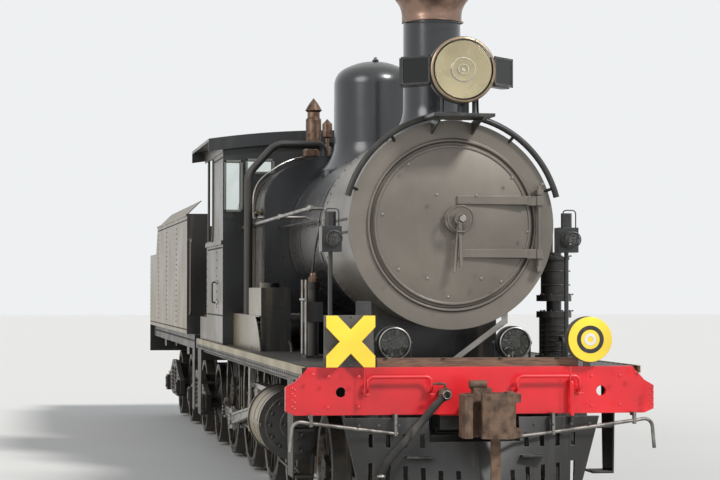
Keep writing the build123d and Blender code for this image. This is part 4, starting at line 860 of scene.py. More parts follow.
# The engine's sub-assemblies
@dataclass
class CadFinishes:
    """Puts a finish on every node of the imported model."""

    shades: dict[Shade, tuple[str, ...]] = field(default_factory=lambda: {
        Shade.CHASSIS: ("frame", "axleboxes", "running_boards", "brake_gear", "bogie_frame", "tender_frame",
                        "tender_bogie_1", "tender_bogie_2", "air_pump", "lubricator", "boiler_pipes",
                        "firehole_door", "board_brackets", "drawbar"),
        Shade.BOILER: ("boiler_barrel", "firebox", "dome", "chimney"),
        Shade.SMOKEBOX: ("smokebox", "smokebox_door"),
        Shade.CAB: ("cab_body", "cab_roof", "marker_lamps", "deck_lamps"),
        Shade.TENDER: ("tender_tank", "filler_lid"),
        Shade.NUMBER_BOX: ("headlight",),
        Shade.CLADDING: ("cylinders", "splashers"),
        Shade.BEAM: ("buffer_beam",),
        Shade.PILOT: ("pilot",),
        Shade.STEEL: ("slide_bars", "coupling_rod_left", "coupling_rod_right", "connecting_rod_left",
                      "connecting_rod_right", "crosshead_left", "crosshead_right", "handrails"),
        Shade.LEVER: ("uncoupling_gear",),
        Shade.COPPER: ("chimney_cap",),
        Shade.VALVES: ("safety_valves",),
        Shade.BRASS: ("backhead_fittings",),
        Shade.RUST: ("front_coupler", "rear_coupler", "front_knuckle", "rear_knuckle"),
        Shade.WOOD: ("deck_plank",),
        Shade.WINDOW: ("cab_windows",),
        Shade.PLATE: ("signal_plates",),
        Shade.RUBBER: ("brake_hose",),
    })
    # Each wheelset's node, S of its axle and its radius
    wheels: tuple[tuple[str, float, float], ...] = (
        ("bogie_front_wheels", 1.12, 0.419), ("bogie_rear_wheels", 3.02, 0.419),
        ("leading_driving_wheels", 4.35, 0.686), ("main_driving_wheels", 6.03, 0.686),
        ("trailing_driving_wheels", 7.71, 0.686), ("tender_wheels_1", 9.325, 0.457),
        ("tender_wheels_2", 11.075, 0.457), ("tender_wheels_3", 13.025, 0.457),
        ("tender_wheels_4", 14.775, 0.457))

    def build(self) -> None:
        """Assigns the materials."""
        for shade, names in self.shades.items():
            for name in names:
                self.assign(name, shade.material())
        for name, axle, radius in self.wheels:
            self.assign(name, WheelFinish("tyre_and_centre_" + name, axle, radius).build())

    def assign(self, name: str, material: Any) -> None:
        """Gives one node its material."""
        NODES[name].data.materials.clear()
        NODES[name].data.materials.append(material)


@dataclass
class SmokeboxFront:
    """Rivets of the smokebox, the studs, nut and ring of its door, and the cap of its hinge."""

    shell_r: float = 0.765
    seams: tuple[float, ...] = (0.79, 2.155)
    seam_rise: float = 0.05
    seam_ends: Pair = (0.84, 2.12)
    crown_s: float = 0.600
    dish_r: float = 3.09
    door_studs: tuple[Pair, ...] = (
        (0.047, 2.830), (-0.358, 2.710), (0.431, 2.618), (-0.152, 2.485), (0.148, 2.480), (-0.556, 2.336),
        (0.550, 2.213), (-0.433, 1.928), (-0.219, 1.863), (0.191, 1.863), (0.346, 1.840), (-0.060, 1.726))
    boss: Pair = (0.020, 2.307)
    hinge: Point = (0.662, 0.628, BOILER_Z + 0.299)

    def build(self) -> None:
        """Makes the pieces."""
        places = [p for s in self.seams for p in ring_places(at(0, s, BOILER_Z), "Y", self.shell_r, 64)]
        places += [p for z in (BOILER_Z - self.seam_rise, BOILER_Z + self.seam_rise) for side in SIDES
                   for p in self.side_seam(side, z)]
        dress(studs("smokebox_rivets", places, 0.011, 0.007), Shade.SMOKEBOX)
        heads = [self.on_door(x, z) for x, z in self.door_studs]
        door = "smokebox_door"
        dress(studs("smokebox_door_studs", heads, 0.013, 0.009), Shade.SMOKEBOX, door)
        x, z = self.boss
        nut = ((-0.028, 0), (-0.028, 0.026), (-0.004, 0.034), (0, 0.034), (0, 0))
        dress(turned("door_boss_nut", nut, at(x, 0.500, z), "Y", 6), Shade.STEEL, door)
        collar = ((0, 0.088), (-0.008, 0.092), (-0.008, 0.100), (0, 0.104))
        dress(turned("door_boss_ring", collar, at(x, 0.555, z), "Y", closed=True), Shade.SMOKEBOX,
              door)
        cap = ((0, 0), (0, 0.022), (0.012, 0.020), (0.022, 0))
        dress(turned("hinge_post_cap", cap, at(*self.hinge), "Z", 24), Shade.SMOKEBOX)

    def side_seam(self, side: int, z: float) -> Places:
        """Returns a row of rivets along the shell's side at one height.

        Args:
            side: The side, as the sign of X.
            z: The row's height.

        Returns:
            Pairs of a place and a normal.
        """
        x = side * sqrt(self.shell_r ** 2 - (z - BOILER_Z) ** 2)
        first, last = self.seam_ends
        return line_places(at(x, first, z), at(x, last, z), 22, OUT[side])

    def on_door(self, x: float, z: float) -> tuple[Vector, Vector]:
        """Returns the place and direction of a stud on the dished door."""
        reach = (x ** 2 + (z - BOILER_Z) ** 2) / (2 * self.dish_r)
        return at(x, self.crown_s + reach, z), FORWARD


@dataclass
class HeadLamp:
    """Rim, reflector and lens of the headlight, near-white rings in it that paint its reflections, and the
    blank glasses of its number boxes.
    """

    centre: Point = (0.0, 0.394, 3.398)
    radius: float = 0.214
    box_place: Pair = (0.330, 0.505)
    box_size: Pair = (0.260, 0.215)
    box_turn: float = 45.0
    edge: float = 0.036
    conduit: tuple[Point, ...] = (
        (0.16, 0.56, 3.36), (0.20, 0.80, 3.30), (0.24, 0.95, 3.10), (0.26, 1.00, 2.985))

    def build(self) -> None:
        """Makes the pieces."""
        middle, r = at(*self.centre), self.radius
        rim = ring("headlight_rim", -0.012, r + 0.018, (0.016, 0.013), middle, "Y", 64)
        dress(rim, Shade.RIM)
        bowl = ((-0.001, 0), (-0.001, r - 0.001), (-0.010, r - 0.001), (-0.006, r * 0.8), (-0.003, r * 0.5),
                (-0.002, 0))
        dress(turned("headlight_reflector", bowl, middle, "Y", 64), Shade.REFLECTOR)
        # Near-white rings and tip behind the lens paint the reflection rings seen in it
        rings = [ring("ring", -0.009, reach, (wide, 0.006), middle, "Y")
                 for reach, wide in ((r * 0.40, 0.018), (r * 0.17, 0.012))]
        tip = ((-0.002, 0), (-0.002, 0.016), (-0.012, 0.012), (-0.014, 0))
        rings.append(turned("tip", tip, middle, "Y", 24))
        dress(join(rings, "headlight_painted_reflection_rings"), Shade.LENS_REFLECTION_RINGS)
        lens = ((-0.014, 0), (-0.014, r - 0.002), (-0.018, r - 0.002), (-0.028, r * 0.75), (-0.035, r * 0.4),
                (-0.037, 0))
        dress(turned("headlight_lens", lens, middle, "Y", 64), Shade.LENS)
        screws = [(place + FORWARD * 0.018, normal) for place, normal
                  in ring_places(at(0, 0.385, 3.398), "Y", r + 0.018, 8, 0.4, FORWARD)]
        dress(studs("headlight_rim_screws", screws, 0.006, 0.004), Shade.RIM)
        for side in SIDES:
            self.number_box(side)
        dress(bar("headlight_conduit", route(*self.conduit), 0.010, 0.12), Shade.CHASSIS)

    def number_box(self, side: int) -> None:
        """Makes one box's blank glass and the frame round it, turned outward with the box.

        Args:
            side: The side, as the sign of X.
        """
        (wide, high), inset = self.box_size, 0.016
        glass = slab("number_glass_" + WORD[side], Vector((-wide / 2 + inset, -0.004, -high / 2 + inset)),
                     Vector((wide / 2 - inset, 0.0, high / 2 - inset)), 0.001)
        edges = [slab("edge", Vector((x0 / 2, -0.009, z0 / 2)), Vector((x1 / 2, 0.0, z1 / 2)), 0.002)
                 for x0, x1, z0, z1 in border(-wide, wide, -high, high, self.edge)]
        rim = join(edges, "number_frame_" + WORD[side])
        x, s = self.box_place
        for piece, shade, slot in ((glass, Shade.NUMBER_GLASS, "window_glass"),
                                   (rim, Shade.NUMBER_BOX, "black_paint")):
            pose(piece, at(side * x, s, self.centre[2]), radians(self.box_turn * side))
            dress(piece, shade)


@dataclass
class RoundLamps:
    """Rims, bowls and glasses of the marker lamps and the deck lamps, and the marker lamps' handles."""

    # X beside the centre line, S of the glass's seat, Z and radius
    marker: tuple[float, ...] = (0.912, 0.675, 2.160, 0.052)
    deck: tuple[float, ...] = (0.459, 0.662, 1.382, 0.112)

    def build(self) -> None:
        """Makes the pieces of each lamp."""
        for word, (x, s, z, r), flutes, shade in (("marker", self.marker, (), Shade.CAB),
                                                  ("deck", self.deck, range(15, 360, 45), Shade.STEEL)):
            for side in SIDES:
                self.lamp(word + "_lamp_" + WORD[side], at(side * x, s, z), r, flutes, shade)
        handles = []
        for side in SIDES:
            x = side * self.marker[0]
            grip = route((x - 0.05, 0.775, 2.255), (x - 0.05, 0.775, 2.385), (x + 0.05, 0.775, 2.385),
                         (x + 0.05, 0.775, 2.255))
            handles.append(bar("handle", grip, 0.005, 0.03))
        dress(join(handles, "marker_lamp_handles"), Shade.CAB)

    def lamp(self, name: str, middle: Vector, r: float, flutes: Iterable[int], shade: Shade) -> None:
        """Makes one lamp's bowl with its flutes, its lens and its rim.

        Args:
            name: The lamp's name.
            middle: The middle of the glass's seat.
            r: The seat's radius.
            flutes: The turns in degrees of the bowl's flutes.
            shade: The rim's finish.
        """
        bowl = ((0, 0), (0, r), (-0.010, r), (-0.004, r * 0.7), (-0.002, r * 0.3), (-0.001, 0))
        dress(turned(name + "_bowl", bowl, middle, "Y"), Shade.BOWL)
        lines = [ring("ring", -0.006, r * 0.42, (r * 0.14, 0.004), middle, "Y", 32)]
        for turn in flutes:
            ends = [middle + FORWARD * 0.004 + leaning(turn) * r * 0.55,
                    middle + FORWARD * 0.006 + leaning(turn) * r * 0.88]
            lines.append(bar("flute", ends, r * 0.07))
        dress(join(lines, name + "_flutes"), Shade.LEVER)
        lens = ((-0.008, 0), (-0.008, r * 0.97), (-0.012, r * 0.97), (-0.018, r * 0.6), (-0.021, 0))
        dress(turned(name + "_lens", lens, middle, "Y"), Shade.LENS)
        dress(ring(name + "_rim", -0.016, r + 0.004, (0.010, 0.006), middle, "Y"), shade)


@dataclass
class BeamFittings:
    """Bolts, weld seams, end rivets and grab-iron lugs of the red beam, and the plank's bolts."""

    bolts: tuple[Pair, ...] = (
        (-1.169, 1.182), (-1.055, 1.167), (-0.841, 1.165), (-1.063, 0.949), (-0.841, 0.954),
        (0.857, 1.161), (1.070, 1.163), (1.190, 1.184), (0.856, 0.949), (1.069, 0.954))
    seams: tuple[float, ...] = (-0.798, 0.704)

    def build(self) -> None:
        """Makes the pieces."""
        bolts = [(at(x, 0, z), FORWARD) for x, z in self.bolts]
        dress(studs("beam_bolts", bolts, 0.014, 0.009, 6), Shade.BEAM)
        strips = [slab("strip", at(x - 0.005, -0.003, 0.893), at(x + 0.005, 0.001, 1.227), 0.001)
                  for x in self.seams]
        dress(join(strips, "beam_weld_seams"), Shade.BEAM)
        columns = ((1.315, (0.955, 1.00, 1.045, 1.085)), (1.298, [0.94 + 0.045 * k for k in range(4)]))
        heads = [(at(side * x, 0, z), FORWARD) for x, heights in columns for side in SIDES for z in heights]
        dress(studs("beam_end_rivets", heads, 0.010, 0.007), Shade.BEAM)
        lugs = [slab("lug", at(side * x - 0.020, -0.022, 1.030), at(side * x + 0.020, -0.002, 1.045))
                for side in SIDES for x in (0.775, 0.312)]
        dress(join(lugs, "grab_iron_lugs"), Shade.BEAM)
        tops = [(at(x, 0.10, 1.290), UPWARD) for x in (-0.63, -0.21, 0.21, 0.63)]
        dress(studs("plank_bolts", tops, 0.016, 0.008), Shade.CHASSIS)


@dataclass
class SignalPlates:
    """The yellow cross on the grey plate, and the disc with its plain rings."""

    cross: Point = (-0.898, 0.002, 1.415)
    half: Pair = (0.176, 0.183)
    arm: float = 0.082
    disc: Point = (0.850, 0.002, 1.425)

    def build(self) -> None:
        """Makes the pieces."""
        x, s, z = self.cross
        w, h = self.half
        a = self.arm
        quarter = ((w, h - a), (w, h), (w - a, h), (0, a * h / w))
        outline = list(quarter) + [(-p, q) for p, q in quarter[-2::-1]] + [(-a * w / h, 0)]
        outline += [(-p, -q) for p, q in quarter] + [(p, -q) for p, q in quarter[-2::-1]] + [(a * w / h, 0)]
        marks = plate("yellow_cross", [(x + p, z + q) for p, q in outline], s - 0.002, s + 0.001)
        dress(marks, Shade.YELLOW)
        middle = at(*self.disc)
        face = ((0.001, 0), (0.001, 0.163), (-0.003, 0.162), (-0.004, 0.158), (-0.004, 0))
        dress(turned("yellow_disc", face, middle, "Y", 64), Shade.YELLOW)
        # Plain rings, dark round pale, as outer and inner radius
        for name, outer, inner, shade in (("disc_dark_ring", 0.100, 0.070, Shade.DARK_MARK),
                                          ("disc_pale_ring", 0.046, 0.020, Shade.PALE_MARK)):
            band = ((-0.003, inner), (-0.003, outer), (-0.0055, outer), (-0.0055, inner))
            dress(turned(name, band, middle, "Y", 64, closed=True), shade)
        screws = [(at(x, self.disc[1], z + way * (h - 0.012)), FORWARD) for way in SIDES]
        dress(studs("plate_screws", screws, 0.009, 0.005), Shade.CHASSIS)


@dataclass
class ChimneyAndDome:
    """Rivets of the chimney's skirt, the cap's seam, and the dome's joint and top nut."""

    chimney_s: float = 1.440
    dome_s: float = 4.050
    lift: float = 0.013

    def build(self) -> None:
        """Makes the pieces."""
        rivets = [self.on_saddle(self.chimney_s, 0.318, 0.765, turn) for turn in range(0, 360, 18)]
        dress(studs("chimney_skirt_rivets", rivets, 0.012, 0.009), Shade.BOILER)
        seam = ring("chimney_seam", 3.880, 0.228, (0.008, 0.006), at(0, self.chimney_s, 0), "Z", 64)
        dress(seam, Shade.COPPER)
        bolts = [self.on_saddle(self.dome_s, 0.452, 0.715, turn) for turn in range(0, 360, 15)]
        dress(studs("dome_base_bolts", bolts, 0.013, 0.012, 6), Shade.BOILER)
        nut = ((3.870, 0), (3.870, 0.030), (3.880, 0.030), (3.890, 0.016), (3.905, 0.012), (3.908, 0))
        dress(turned("dome_top_nut", nut, at(0, self.dome_s, 0), "Z", 16), Shade.BOILER)

    def on_saddle(self, s: float, reach: float, drum: float, turn: float) -> tuple[Vector, Vector]:
        """Returns a place on a flange over the boiler and its normal.

        Args:
            s: S of the flange's upright axis.
            reach: How far the place is from that axis.
            drum: The radius of the boiler's drum there.
            turn: The place's turn about the axis in degrees.

        Returns:
            The place, lifted by the flange's thickness, and the drum's normal.
        """
        x, y = reach * cos(radians(turn)), reach * sin(radians(turn))
        rise = sqrt(drum ** 2 - x ** 2)
        normal = Vector((x / drum, 0, rise / drum))
        return Vector((x, at(0, s, 0).y + y, RAIL + BOILER_Z + rise)) + normal * self.lift, normal


@dataclass
class BoilerFittings:
    """Band clips, firebox bands, rail knobs, plug squares and thin pipes along the boiler."""

    barrel_r: float = 0.722
    bands: tuple[float, ...] = (2.23, 2.70, 3.83, 4.51)
    firebox_bands: tuple[float, ...] = (4.575, 5.32, 5.86)
    # Half of the firebox's section from its foot to the crown, as X and Z
    section: tuple[Pair, ...] = (
        (0.951, 1.62), (0.951, 2.60), (0.940, 2.68), (0.910, 2.752), (0.868, 2.801), (0.815, 2.856),
        (0.735, 2.921), (0.641, 2.962), (0.50, 3.005), (0.331, 3.043), (0.165, 3.064), (0, 3.071))
    knobs: tuple[Point, ...] = ((0.846, 2.40, 2.451), (0.933, 3.60, 2.422), (1.0, 5.20, 2.40))
    whistle: tuple[Point, ...] = (
        (-0.20, 5.53, 3.10), (-0.62, 5.42, 3.06), (-0.97, 5.30, 2.80), (-0.985, 5.25, 2.46),
        (-0.985, 4.80, 2.46), (-0.93, 4.74, 2.46))
    blower: tuple[Point, ...] = (
        (0.985, 5.86, 2.44), (0.985, 4.60, 2.47), (0.80, 4.35, 2.56), (0.775, 2.30, 2.56),
        (0.79, 1.60, 2.50), (0.70, 1.50, 2.50))
    sand: tuple[Point, ...] = ((0.83, 3.76, 1.32), (0.83, 3.60, 1.28), (0.83, 3.60, 0.45), (0.83, 3.80, 0.14))

    def build(self) -> None:
        """Makes the pieces."""
        foot = BOILER_Z - self.barrel_r
        clips = [slab("clip", at(-0.03, s - 0.014, foot - 0.012), at(0.03, s + 0.014, foot + 0.004))
                 for s in self.bands]
        dress(join(clips, "band_clips"), Shade.BOILER)
        outline = strip_outline(list(self.section) + [(-x, z) for x, z in self.section[-2::-1]], 0.006)
        strips = [plate("band", outline, s, s + 0.045) for s in self.firebox_bands]
        dress(join(strips, "firebox_bands"), Shade.BOILER)
        ball = ((-0.024, 0), (-0.018, 0.017), (0, 0.026), (0.018, 0.017), (0.024, 0))
        balls = [turned("knob", ball, place, "Y", 16)
                 for side in SIDES for place in route(*self.knobs, side=side)]
        dress(join(balls, "handrail_knobs"), Shade.STEEL)
        dress(bar("whistle_pipe", route(*self.whistle), 0.010, 0.2), Shade.STEEL)
        dress(bar("blower_pipe", route(*self.blower), 0.014, 0.15), Shade.CHASSIS)
        for side in SIDES:
            dress(bar("sand_pipe_" + WORD[side], route(*self.sand, side=side), 0.015, 0.12), Shade.CHASSIS)
        near, far, half = 0.964, 0.982, 0.016
        square = ((near, 0), (near, half), (far, half), (far, 0))
        squares = [turned("plug", [(side * reach, r) for reach, r in square], at(0, s, 2.51), "X", 4)
                   for side in SIDES for s in (4.72, 5.12, 5.52)]
        dress(join(squares, "washout_plug_squares"), Shade.BRASS)


@dataclass
class CabTrim:
    """Rivets, roof ribs, window frames and beading outside the cab."""

    half: float = 1.200
    # S and Z of each rivet row's ends, and its count
    rows: tuple[tuple[float, float, float, float, int], ...] = (
        (5.94, 1.52, 7.56, 1.52, 28), (5.94, 2.20, 7.56, 2.20, 28), (5.94, 3.10, 6.92, 3.10, 18),
        (5.93, 1.60, 5.93, 3.06, 20), (7.57, 1.60, 7.57, 2.16, 8), (6.60, 1.60, 6.60, 2.16, 8))
    # X and Z of each window's middle, its width and its height
    windows: tuple[tuple[float, float, float, float], ...] = (
        (1.105, 2.810, 0.140, 0.470), (0.838, 3.008, 0.245, 0.105))
    window_edge: float = 0.022
    bead: tuple[Point, ...] = (
        (1.206, 6.96, 3.14), (1.206, 6.96, 2.40), (1.206, 7.03, 2.275), (1.206, 7.60, 2.275))

    def build(self) -> None:
        """Makes the pieces."""
        dress(studs("cab_side_rivets", side_rows(self.half, self.rows), 0.008, 0.005, 6), Shade.CAB)
        frames = [strip for side in SIDES for x, z, wide, high in self.windows
                  for strip in self.window_frame(side * x, z, wide / 2, high / 2)]
        dress(join(frames, "cab_window_frames"), Shade.FRAME)
        outline = strip_outline(roof_arc(1.340, 3.280, 3.382, 14), 0.010)
        ribs = [plate("rib", outline, s, s + 0.035) for s in (6.42, 7.10)]
        dress(join(ribs, "cab_roof_ribs"), Shade.CAB)
        rivets = [(at(x, s, z + 0.001), UPWARD) for s in (6.40, 6.475, 7.08, 7.155)
                  for x, z in roof_arc(1.30, 3.284, 3.382, 30)]
        dress(studs("cab_roof_rivets", rivets, 0.007, 0.004, 6), Shade.CAB)
        beads = [bar("bead", route(*self.bead, side=side), 0.011, 0.05) for side in SIDES]
        dress(join(beads, "cab_opening_beads"), Shade.FRAME)
        bosses = [p for side in SIDES for p in side_heads(side, self.half, grid((6.565,), (1.645, 1.855)))]
        dress(studs("cab_grab_bosses", bosses, 0.022, 0.012, 12), Shade.STEEL)

    def window_frame(self, x: float, z: float, half_wide: float, half_high: float) -> list[Any]:
        """Returns the four bevelled strips of a window's frame on the cab's front.

        Args:
            x: X of the window's middle.
            z: Z of its middle.
            half_wide: Half its width.
            half_high: Half its height.

        Returns:
            The strips, not yet joined.
        """
        thick, near, far = self.window_edge, 5.892, 5.901
        across, up = half_wide + thick, half_high + thick
        return [slab("strip", at(left, near, low), at(right, far, top), 0.002)
                for left, right, low, top in border(x - across, x + across, z - up, z + up, thick)]


@dataclass
class CabInside:
    """Dials, water glasses, valve wheels, seats and boards inside the cab."""

    back: float = 6.900
    floor: float = 1.480
    rear: float = 8.33
    wheels: tuple[Pair, ...] = ((-0.12, 2.76), (0.14, 2.76), (-0.36, 2.46), (0.36, 2.46), (0.12, 2.90))

    def build(self) -> None:
        """Makes the pieces."""
        for side in SIDES:
            self.crew_side(side)
        wheels = []
        for x, z in self.wheels:
            wheels += handwheel(at(x, self.back + 0.07, z), 0.045)
            wheels.append(bar("stem", [at(x, self.back, z), at(x, self.back + 0.07, z)], 0.009))
        dress(join(wheels, "backhead_valve_wheels"), Shade.BRASS)
        rivets = ring_places(at(0, 6.954, 1.90), "Y", 0.215, 20, 0, BACKWARD)
        dress(studs("fire_door_rivets", rivets, 0.009, 0.006, 6), Shade.CHASSIS,
              "firehole_door")
        # Boards beside the firebox and behind it: their first edges, width and front
        rows = (([first + 0.2 * k for first in (-1.17, 0.38) for k in range(4)], 0.195, 6.93),
                ((-0.37, -0.185, 0.0, 0.185), 0.182, 7.02))
        boards = [slab("board", at(x, front, self.floor), at(x + wide, self.rear, self.floor + 0.012))
                  for edges, wide, front in rows for x in edges]
        dress(join(boards, "cab_floor_boards"), Shade.WOOD)
        near, far = self.back + 0.03, self.back + 0.05
        pipes = [bar("pipe", [at(x, near, 2.74), at(x * 1.1, far, 3.02)], 0.010) for x in (-0.12, 0.14)]
        drop = route((-0.52, self.back + 0.04, 2.52), (-0.52, self.back + 0.04, 2.30), (-0.80, near, 2.10),
                     (-0.80, near, 1.50))
        dress(join(pipes + [bar("pipe", drop, 0.011, 0.08)], "backhead_pipes"), Shade.COPPER)

    def crew_side(self, side: int) -> None:
        """Makes one side's dial, water glass and seat.

        Args:
            side: The side, as the sign of X.
        """
        word = WORD[side]
        middle = at(side * 0.52, self.back + 0.060, 2.62)
        face = ((0, 0), (0, 0.082), (0.004, 0.082), (0.004, 0))
        dress(turned("dial_" + word, face, middle, "Y", 40), Shade.DIAL)
        bezel = ring("dial_bezel_" + word, 0.004, 0.088, (0.012, 0.008), middle, "Y", 40)
        dress(bezel, Shade.BRASS)
        marks = [bar("mark", [middle + BACKWARD * 0.005 + leaning(turn) * reach for reach in (0.060, 0.075)],
                     0.0022, sides=1) for turn in range(-135, 136, 27)]
        hand, way = middle + BACKWARD * 0.006, Vector((-0.6, 0, 0.8))
        marks.append(bar("hand", [hand - way * 0.015, hand + way * 0.055], 0.003, sides=1))
        dress(join(marks, "dial_marks_" + word), Shade.CHASSIS)
        x, s = side * 0.56, self.back + 0.075
        tube = bar("water_glass_" + word, route((x, s, 2.20), (x, s, 2.40)), 0.011)
        dress(tube, Shade.LENS)
        x, half, top = side * 0.985, 0.19, 1.90
        seat = [slab("seat_" + word, at(x - half, 7.05, top), at(x + half, 7.42, top + 0.04), 0.008)]
        seat += [slab("leg", at(x + dx - 0.02, s, self.floor), at(x + dx + 0.02, s + 0.04, top))
                 for dx, s in grid((-0.15, 0.15), (7.08, 7.35))]
        dress(join(seat, "seat_" + word), Shade.WOOD)


@dataclass
class RunningGear:
    """Nuts, bands and drains of the cylinders, and bolts and oil corks of wheels, rods and crossheads."""

    cylinder: Pair = (1.055, 0.720)
    # S, radius, count and normal of the rings of nuts on each cylinder's covers
    covers: tuple[tuple[float, float, int, Vector], ...] = (
        (1.650, 0.208, 14, FORWARD), (2.495, 0.165, 12, BACKWARD), (1.630, 0.090, 6, FORWARD))
    # How far out and up the bogie wheel's tyre reaches
    tyre: Pair = (0.93, 0.86)
    crank: float = 0.305
    driver_r: float = 0.686
    hub_x: float = 0.9105
    bogie_r: float = 0.419
    bogie_axles: tuple[tuple[str, float], ...] = (("bogie_front", 1.12), ("bogie_rear", 3.02))

    def build(self) -> None:
        """Makes the pieces."""
        self.cylinders()
        for word, s in AXLES:
            self.driving_axle(word, s)
        for side in SIDES:
            self.rods(side)
        for name, s in self.bogie_axles:
            heads = [p for side in SIDES for p in
                     ring_places(at(side * self.hub_x, s, self.bogie_r), "X", 0.085, 5, 0, OUT[side])]
            self.bolt(name + "_hub_bolts", heads, 0.010, 0.008, name + "_axle", Shade.CHASSIS)

    def cylinders(self) -> None:
        """Makes the nuts of the covers, the bands of the cladding and the drain pipes."""
        x, z = self.cylinder
        front, (tyre_x, tyre_z) = self.covers[0][0], self.tyre
        # The nuts behind the bogie wheel's tyre are left out: the wheel swings past them on a curve
        nuts = [(place, normal) for side in SIDES for s, reach, count, out in self.covers
                for place, normal in ring_places(at(side * x, s, z), "Y", reach, count, 0, out)
                if s != front or abs(place.x) > tyre_x or place.z > tyre_z]
        seams = []
        for side in SIDES:
            seams.append(slab("seam", at(side * (x + 0.270), 1.72, z - 0.012),
                              at(side * (x + 0.276), 2.42, z + 0.012), 0.002))
            seams += [ring("band", s, 0.2735, (0.012, 0.004), at(side * x, 0, z), "Y", 64)
                      for s in (1.95, 2.19)]
        dress(studs("cylinder_cover_nuts", nuts, 0.016, 0.018, 6), Shade.CHASSIS)
        dress(join(seams, "cylinder_cladding_bands"), Shade.CLADDING)
        drains = [bar("drain", route((x + dx, s, 0.415), (x + dx, s, 0.385), (x + dx, 1.45, 0.36), side=side),
                      0.012, 0.03) for side in SIDES for s, dx in ((1.75, 0.0), (2.39, 0.03))]
        dress(join(drains, "drain_pipes"), Shade.CHASSIS)

    def pin(self, side: int, s: float) -> Pair:
        """Returns S and Z of one side's crank pin on the axle at S."""
        turn = radians(CRANK_TURN[side])
        return s + self.crank * cos(turn), self.driver_r + self.crank * sin(turn)

    def driving_axle(self, word: str, s: float) -> None:
        """Makes the tyre studs, hub bolts and crank-pin cap bolts of one coupled axle.

        Args:
            word: The axle's word in the names.
            s: S of the axle.
        """
        heads, caps = [], []
        for side in SIDES:
            out = OUT[side]
            heads += ring_places(at(side * 0.9005, s, self.driver_r), "X", 0.626, 15, 0.2, out)
            heads += ring_places(at(side * self.hub_x, s, self.driver_r), "X", 0.058, 6, 0, out)
            caps += ring_places(at(side * 0.995, *self.pin(side, s)), "X", 0.042, 6, 0, out)
        body = word + "_axle"
        self.bolt(word + "_wheel_bolts", heads, 0.012, 0.008, body, Shade.CHASSIS)
        if word != "main":
            self.bolt(word + "_pin_cap_bolts", caps, 0.011, 0.010, body)

    def rods(self, side: int) -> None:
        """Makes the oil corks and bolts of one side's rods and crosshead.

        Args:
            side: The side, as the sign of X.
        """
        word = WORD[side]
        pins = [self.pin(side, s) for _, s in AXLES]
        main_s, z = pins[1]
        cork = ((0, 0), (0, 0.014), (0.012, 0.014), (0.016, 0.008), (0.022, 0))
        corks = [turned("cork", cork, at(side * 0.9495, s, z + 0.122), "Z", 12) for s, _ in pins]
        dress(join(corks, "coupling_rod_oil_corks_" + word), Shade.BRASS, "coupling_rod_" + word)
        bolts = [p for s, _ in pins
                 for p in side_heads(side, 0.977, ((s - 0.075, z), (s + 0.075, z), (s, z - 0.075)))]
        bolts += side_heads(side, 0.984, ((main_s + 0.260, z),))
        cap = ring_places(at(side * 1.098, main_s, z), "X", 0.040, 6, 0, OUT[side])
        head_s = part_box("crosshead_" + word)[1].y - FRONT - 0.130
        corners = side_heads(side, 1.108, grid((head_s - 0.095, head_s + 0.095), (0.570, 0.870)))
        self.bolt("coupling_rod_bolts_" + word, bolts, 0.009, 0.007, "coupling_rod_" + word)
        self.bolt("big_end_cap_bolts_" + word, cap, 0.011, 0.010, "connecting_rod_" + word)
        self.bolt("crosshead_bolts_" + word, corners, 0.011, 0.009, "crosshead_" + word)

    def bolt(self, name: str, places: Places, radius: float, height: float, body: str,
             shade: Shade = Shade.STEEL) -> None:
        """Makes one piece of hexagon bolts on a moving body.

        Args:
            name: The piece's name.
            places: The bolts' places and normals.
            radius: A head's radius.
            height: How far a head stands out.
            body: The body that carries them.
            shade: Their finish.
        """
        dress(studs(name, places, radius, height, 6), shade, body)


@dataclass
class BoardsAndFrames:
    """Edge strips, bolts, tread bars and pipes of the running boards and frames."""

    edge_x: float = 1.240
    top: float = 1.2355
    ends: Pair = (0.05, 8.41)

    def build(self) -> None:
        """Makes the pieces."""
        s0, s1 = self.ends
        # The strip on the edge and the one down its face: inner and outer X, foot and bevel
        strips = [slab("edge", at(side * (self.edge_x + near), s0, low),
                       at(side * (self.edge_x + far), s1, self.top), bevel)
                  for near, far, low, bevel in ((-0.022, 0, 1.2305, 0.002), (-0.001, 0.003, 1.181, 0.001))
                  for side in SIDES]
        dress(join(strips, "board_edge_strips"), Shade.PALE_BOARD_EDGE)
        heads = side_rows(self.edge_x, ((s0 + 0.1, 1.155, s1 - 0.1, 1.155, 70),))
        heads += [p for side, x in grid(SIDES, (0.70, 1.19)) for p in
                  line_places(at(side * x, 0.3, 1.230), at(side * x, 3.5, 1.230), 26, UPWARD)]
        dress(studs("board_rivets", heads, 0.008, 0.005, 6), Shade.CHASSIS)
        rows = ((1.1, 0.86, 3.3, 0.86, 26), (1.1, 1.13, 3.3, 1.13, 26), (3.8, 1.13, 8.3, 1.13, 46))
        dress(studs("frame_rivets", side_rows(0.650, rows), 0.010, 0.007, 6), Shade.CHASSIS)
        treads = [slab("tread", at(side * 1.07, s, z), at(side * 1.205, s + 0.006, z + 0.004), 0.001)
                  for side in SIDES for first, z in grid((0.59, 8.07), (0.414, 0.754))
                  for s in [first + 0.022 * k for k in range(10)]]
        dress(join(treads, "step_tread_bars"), Shade.CHASSIS)
        pipes = [bar("pipe", route((1.185, 0.30, 1.105), (1.185, 8.30, 1.105), side=side), 0.014)
                 for side in SIDES]
        dress(join(pipes, "brake_main_pipes"), Shade.CHASSIS)


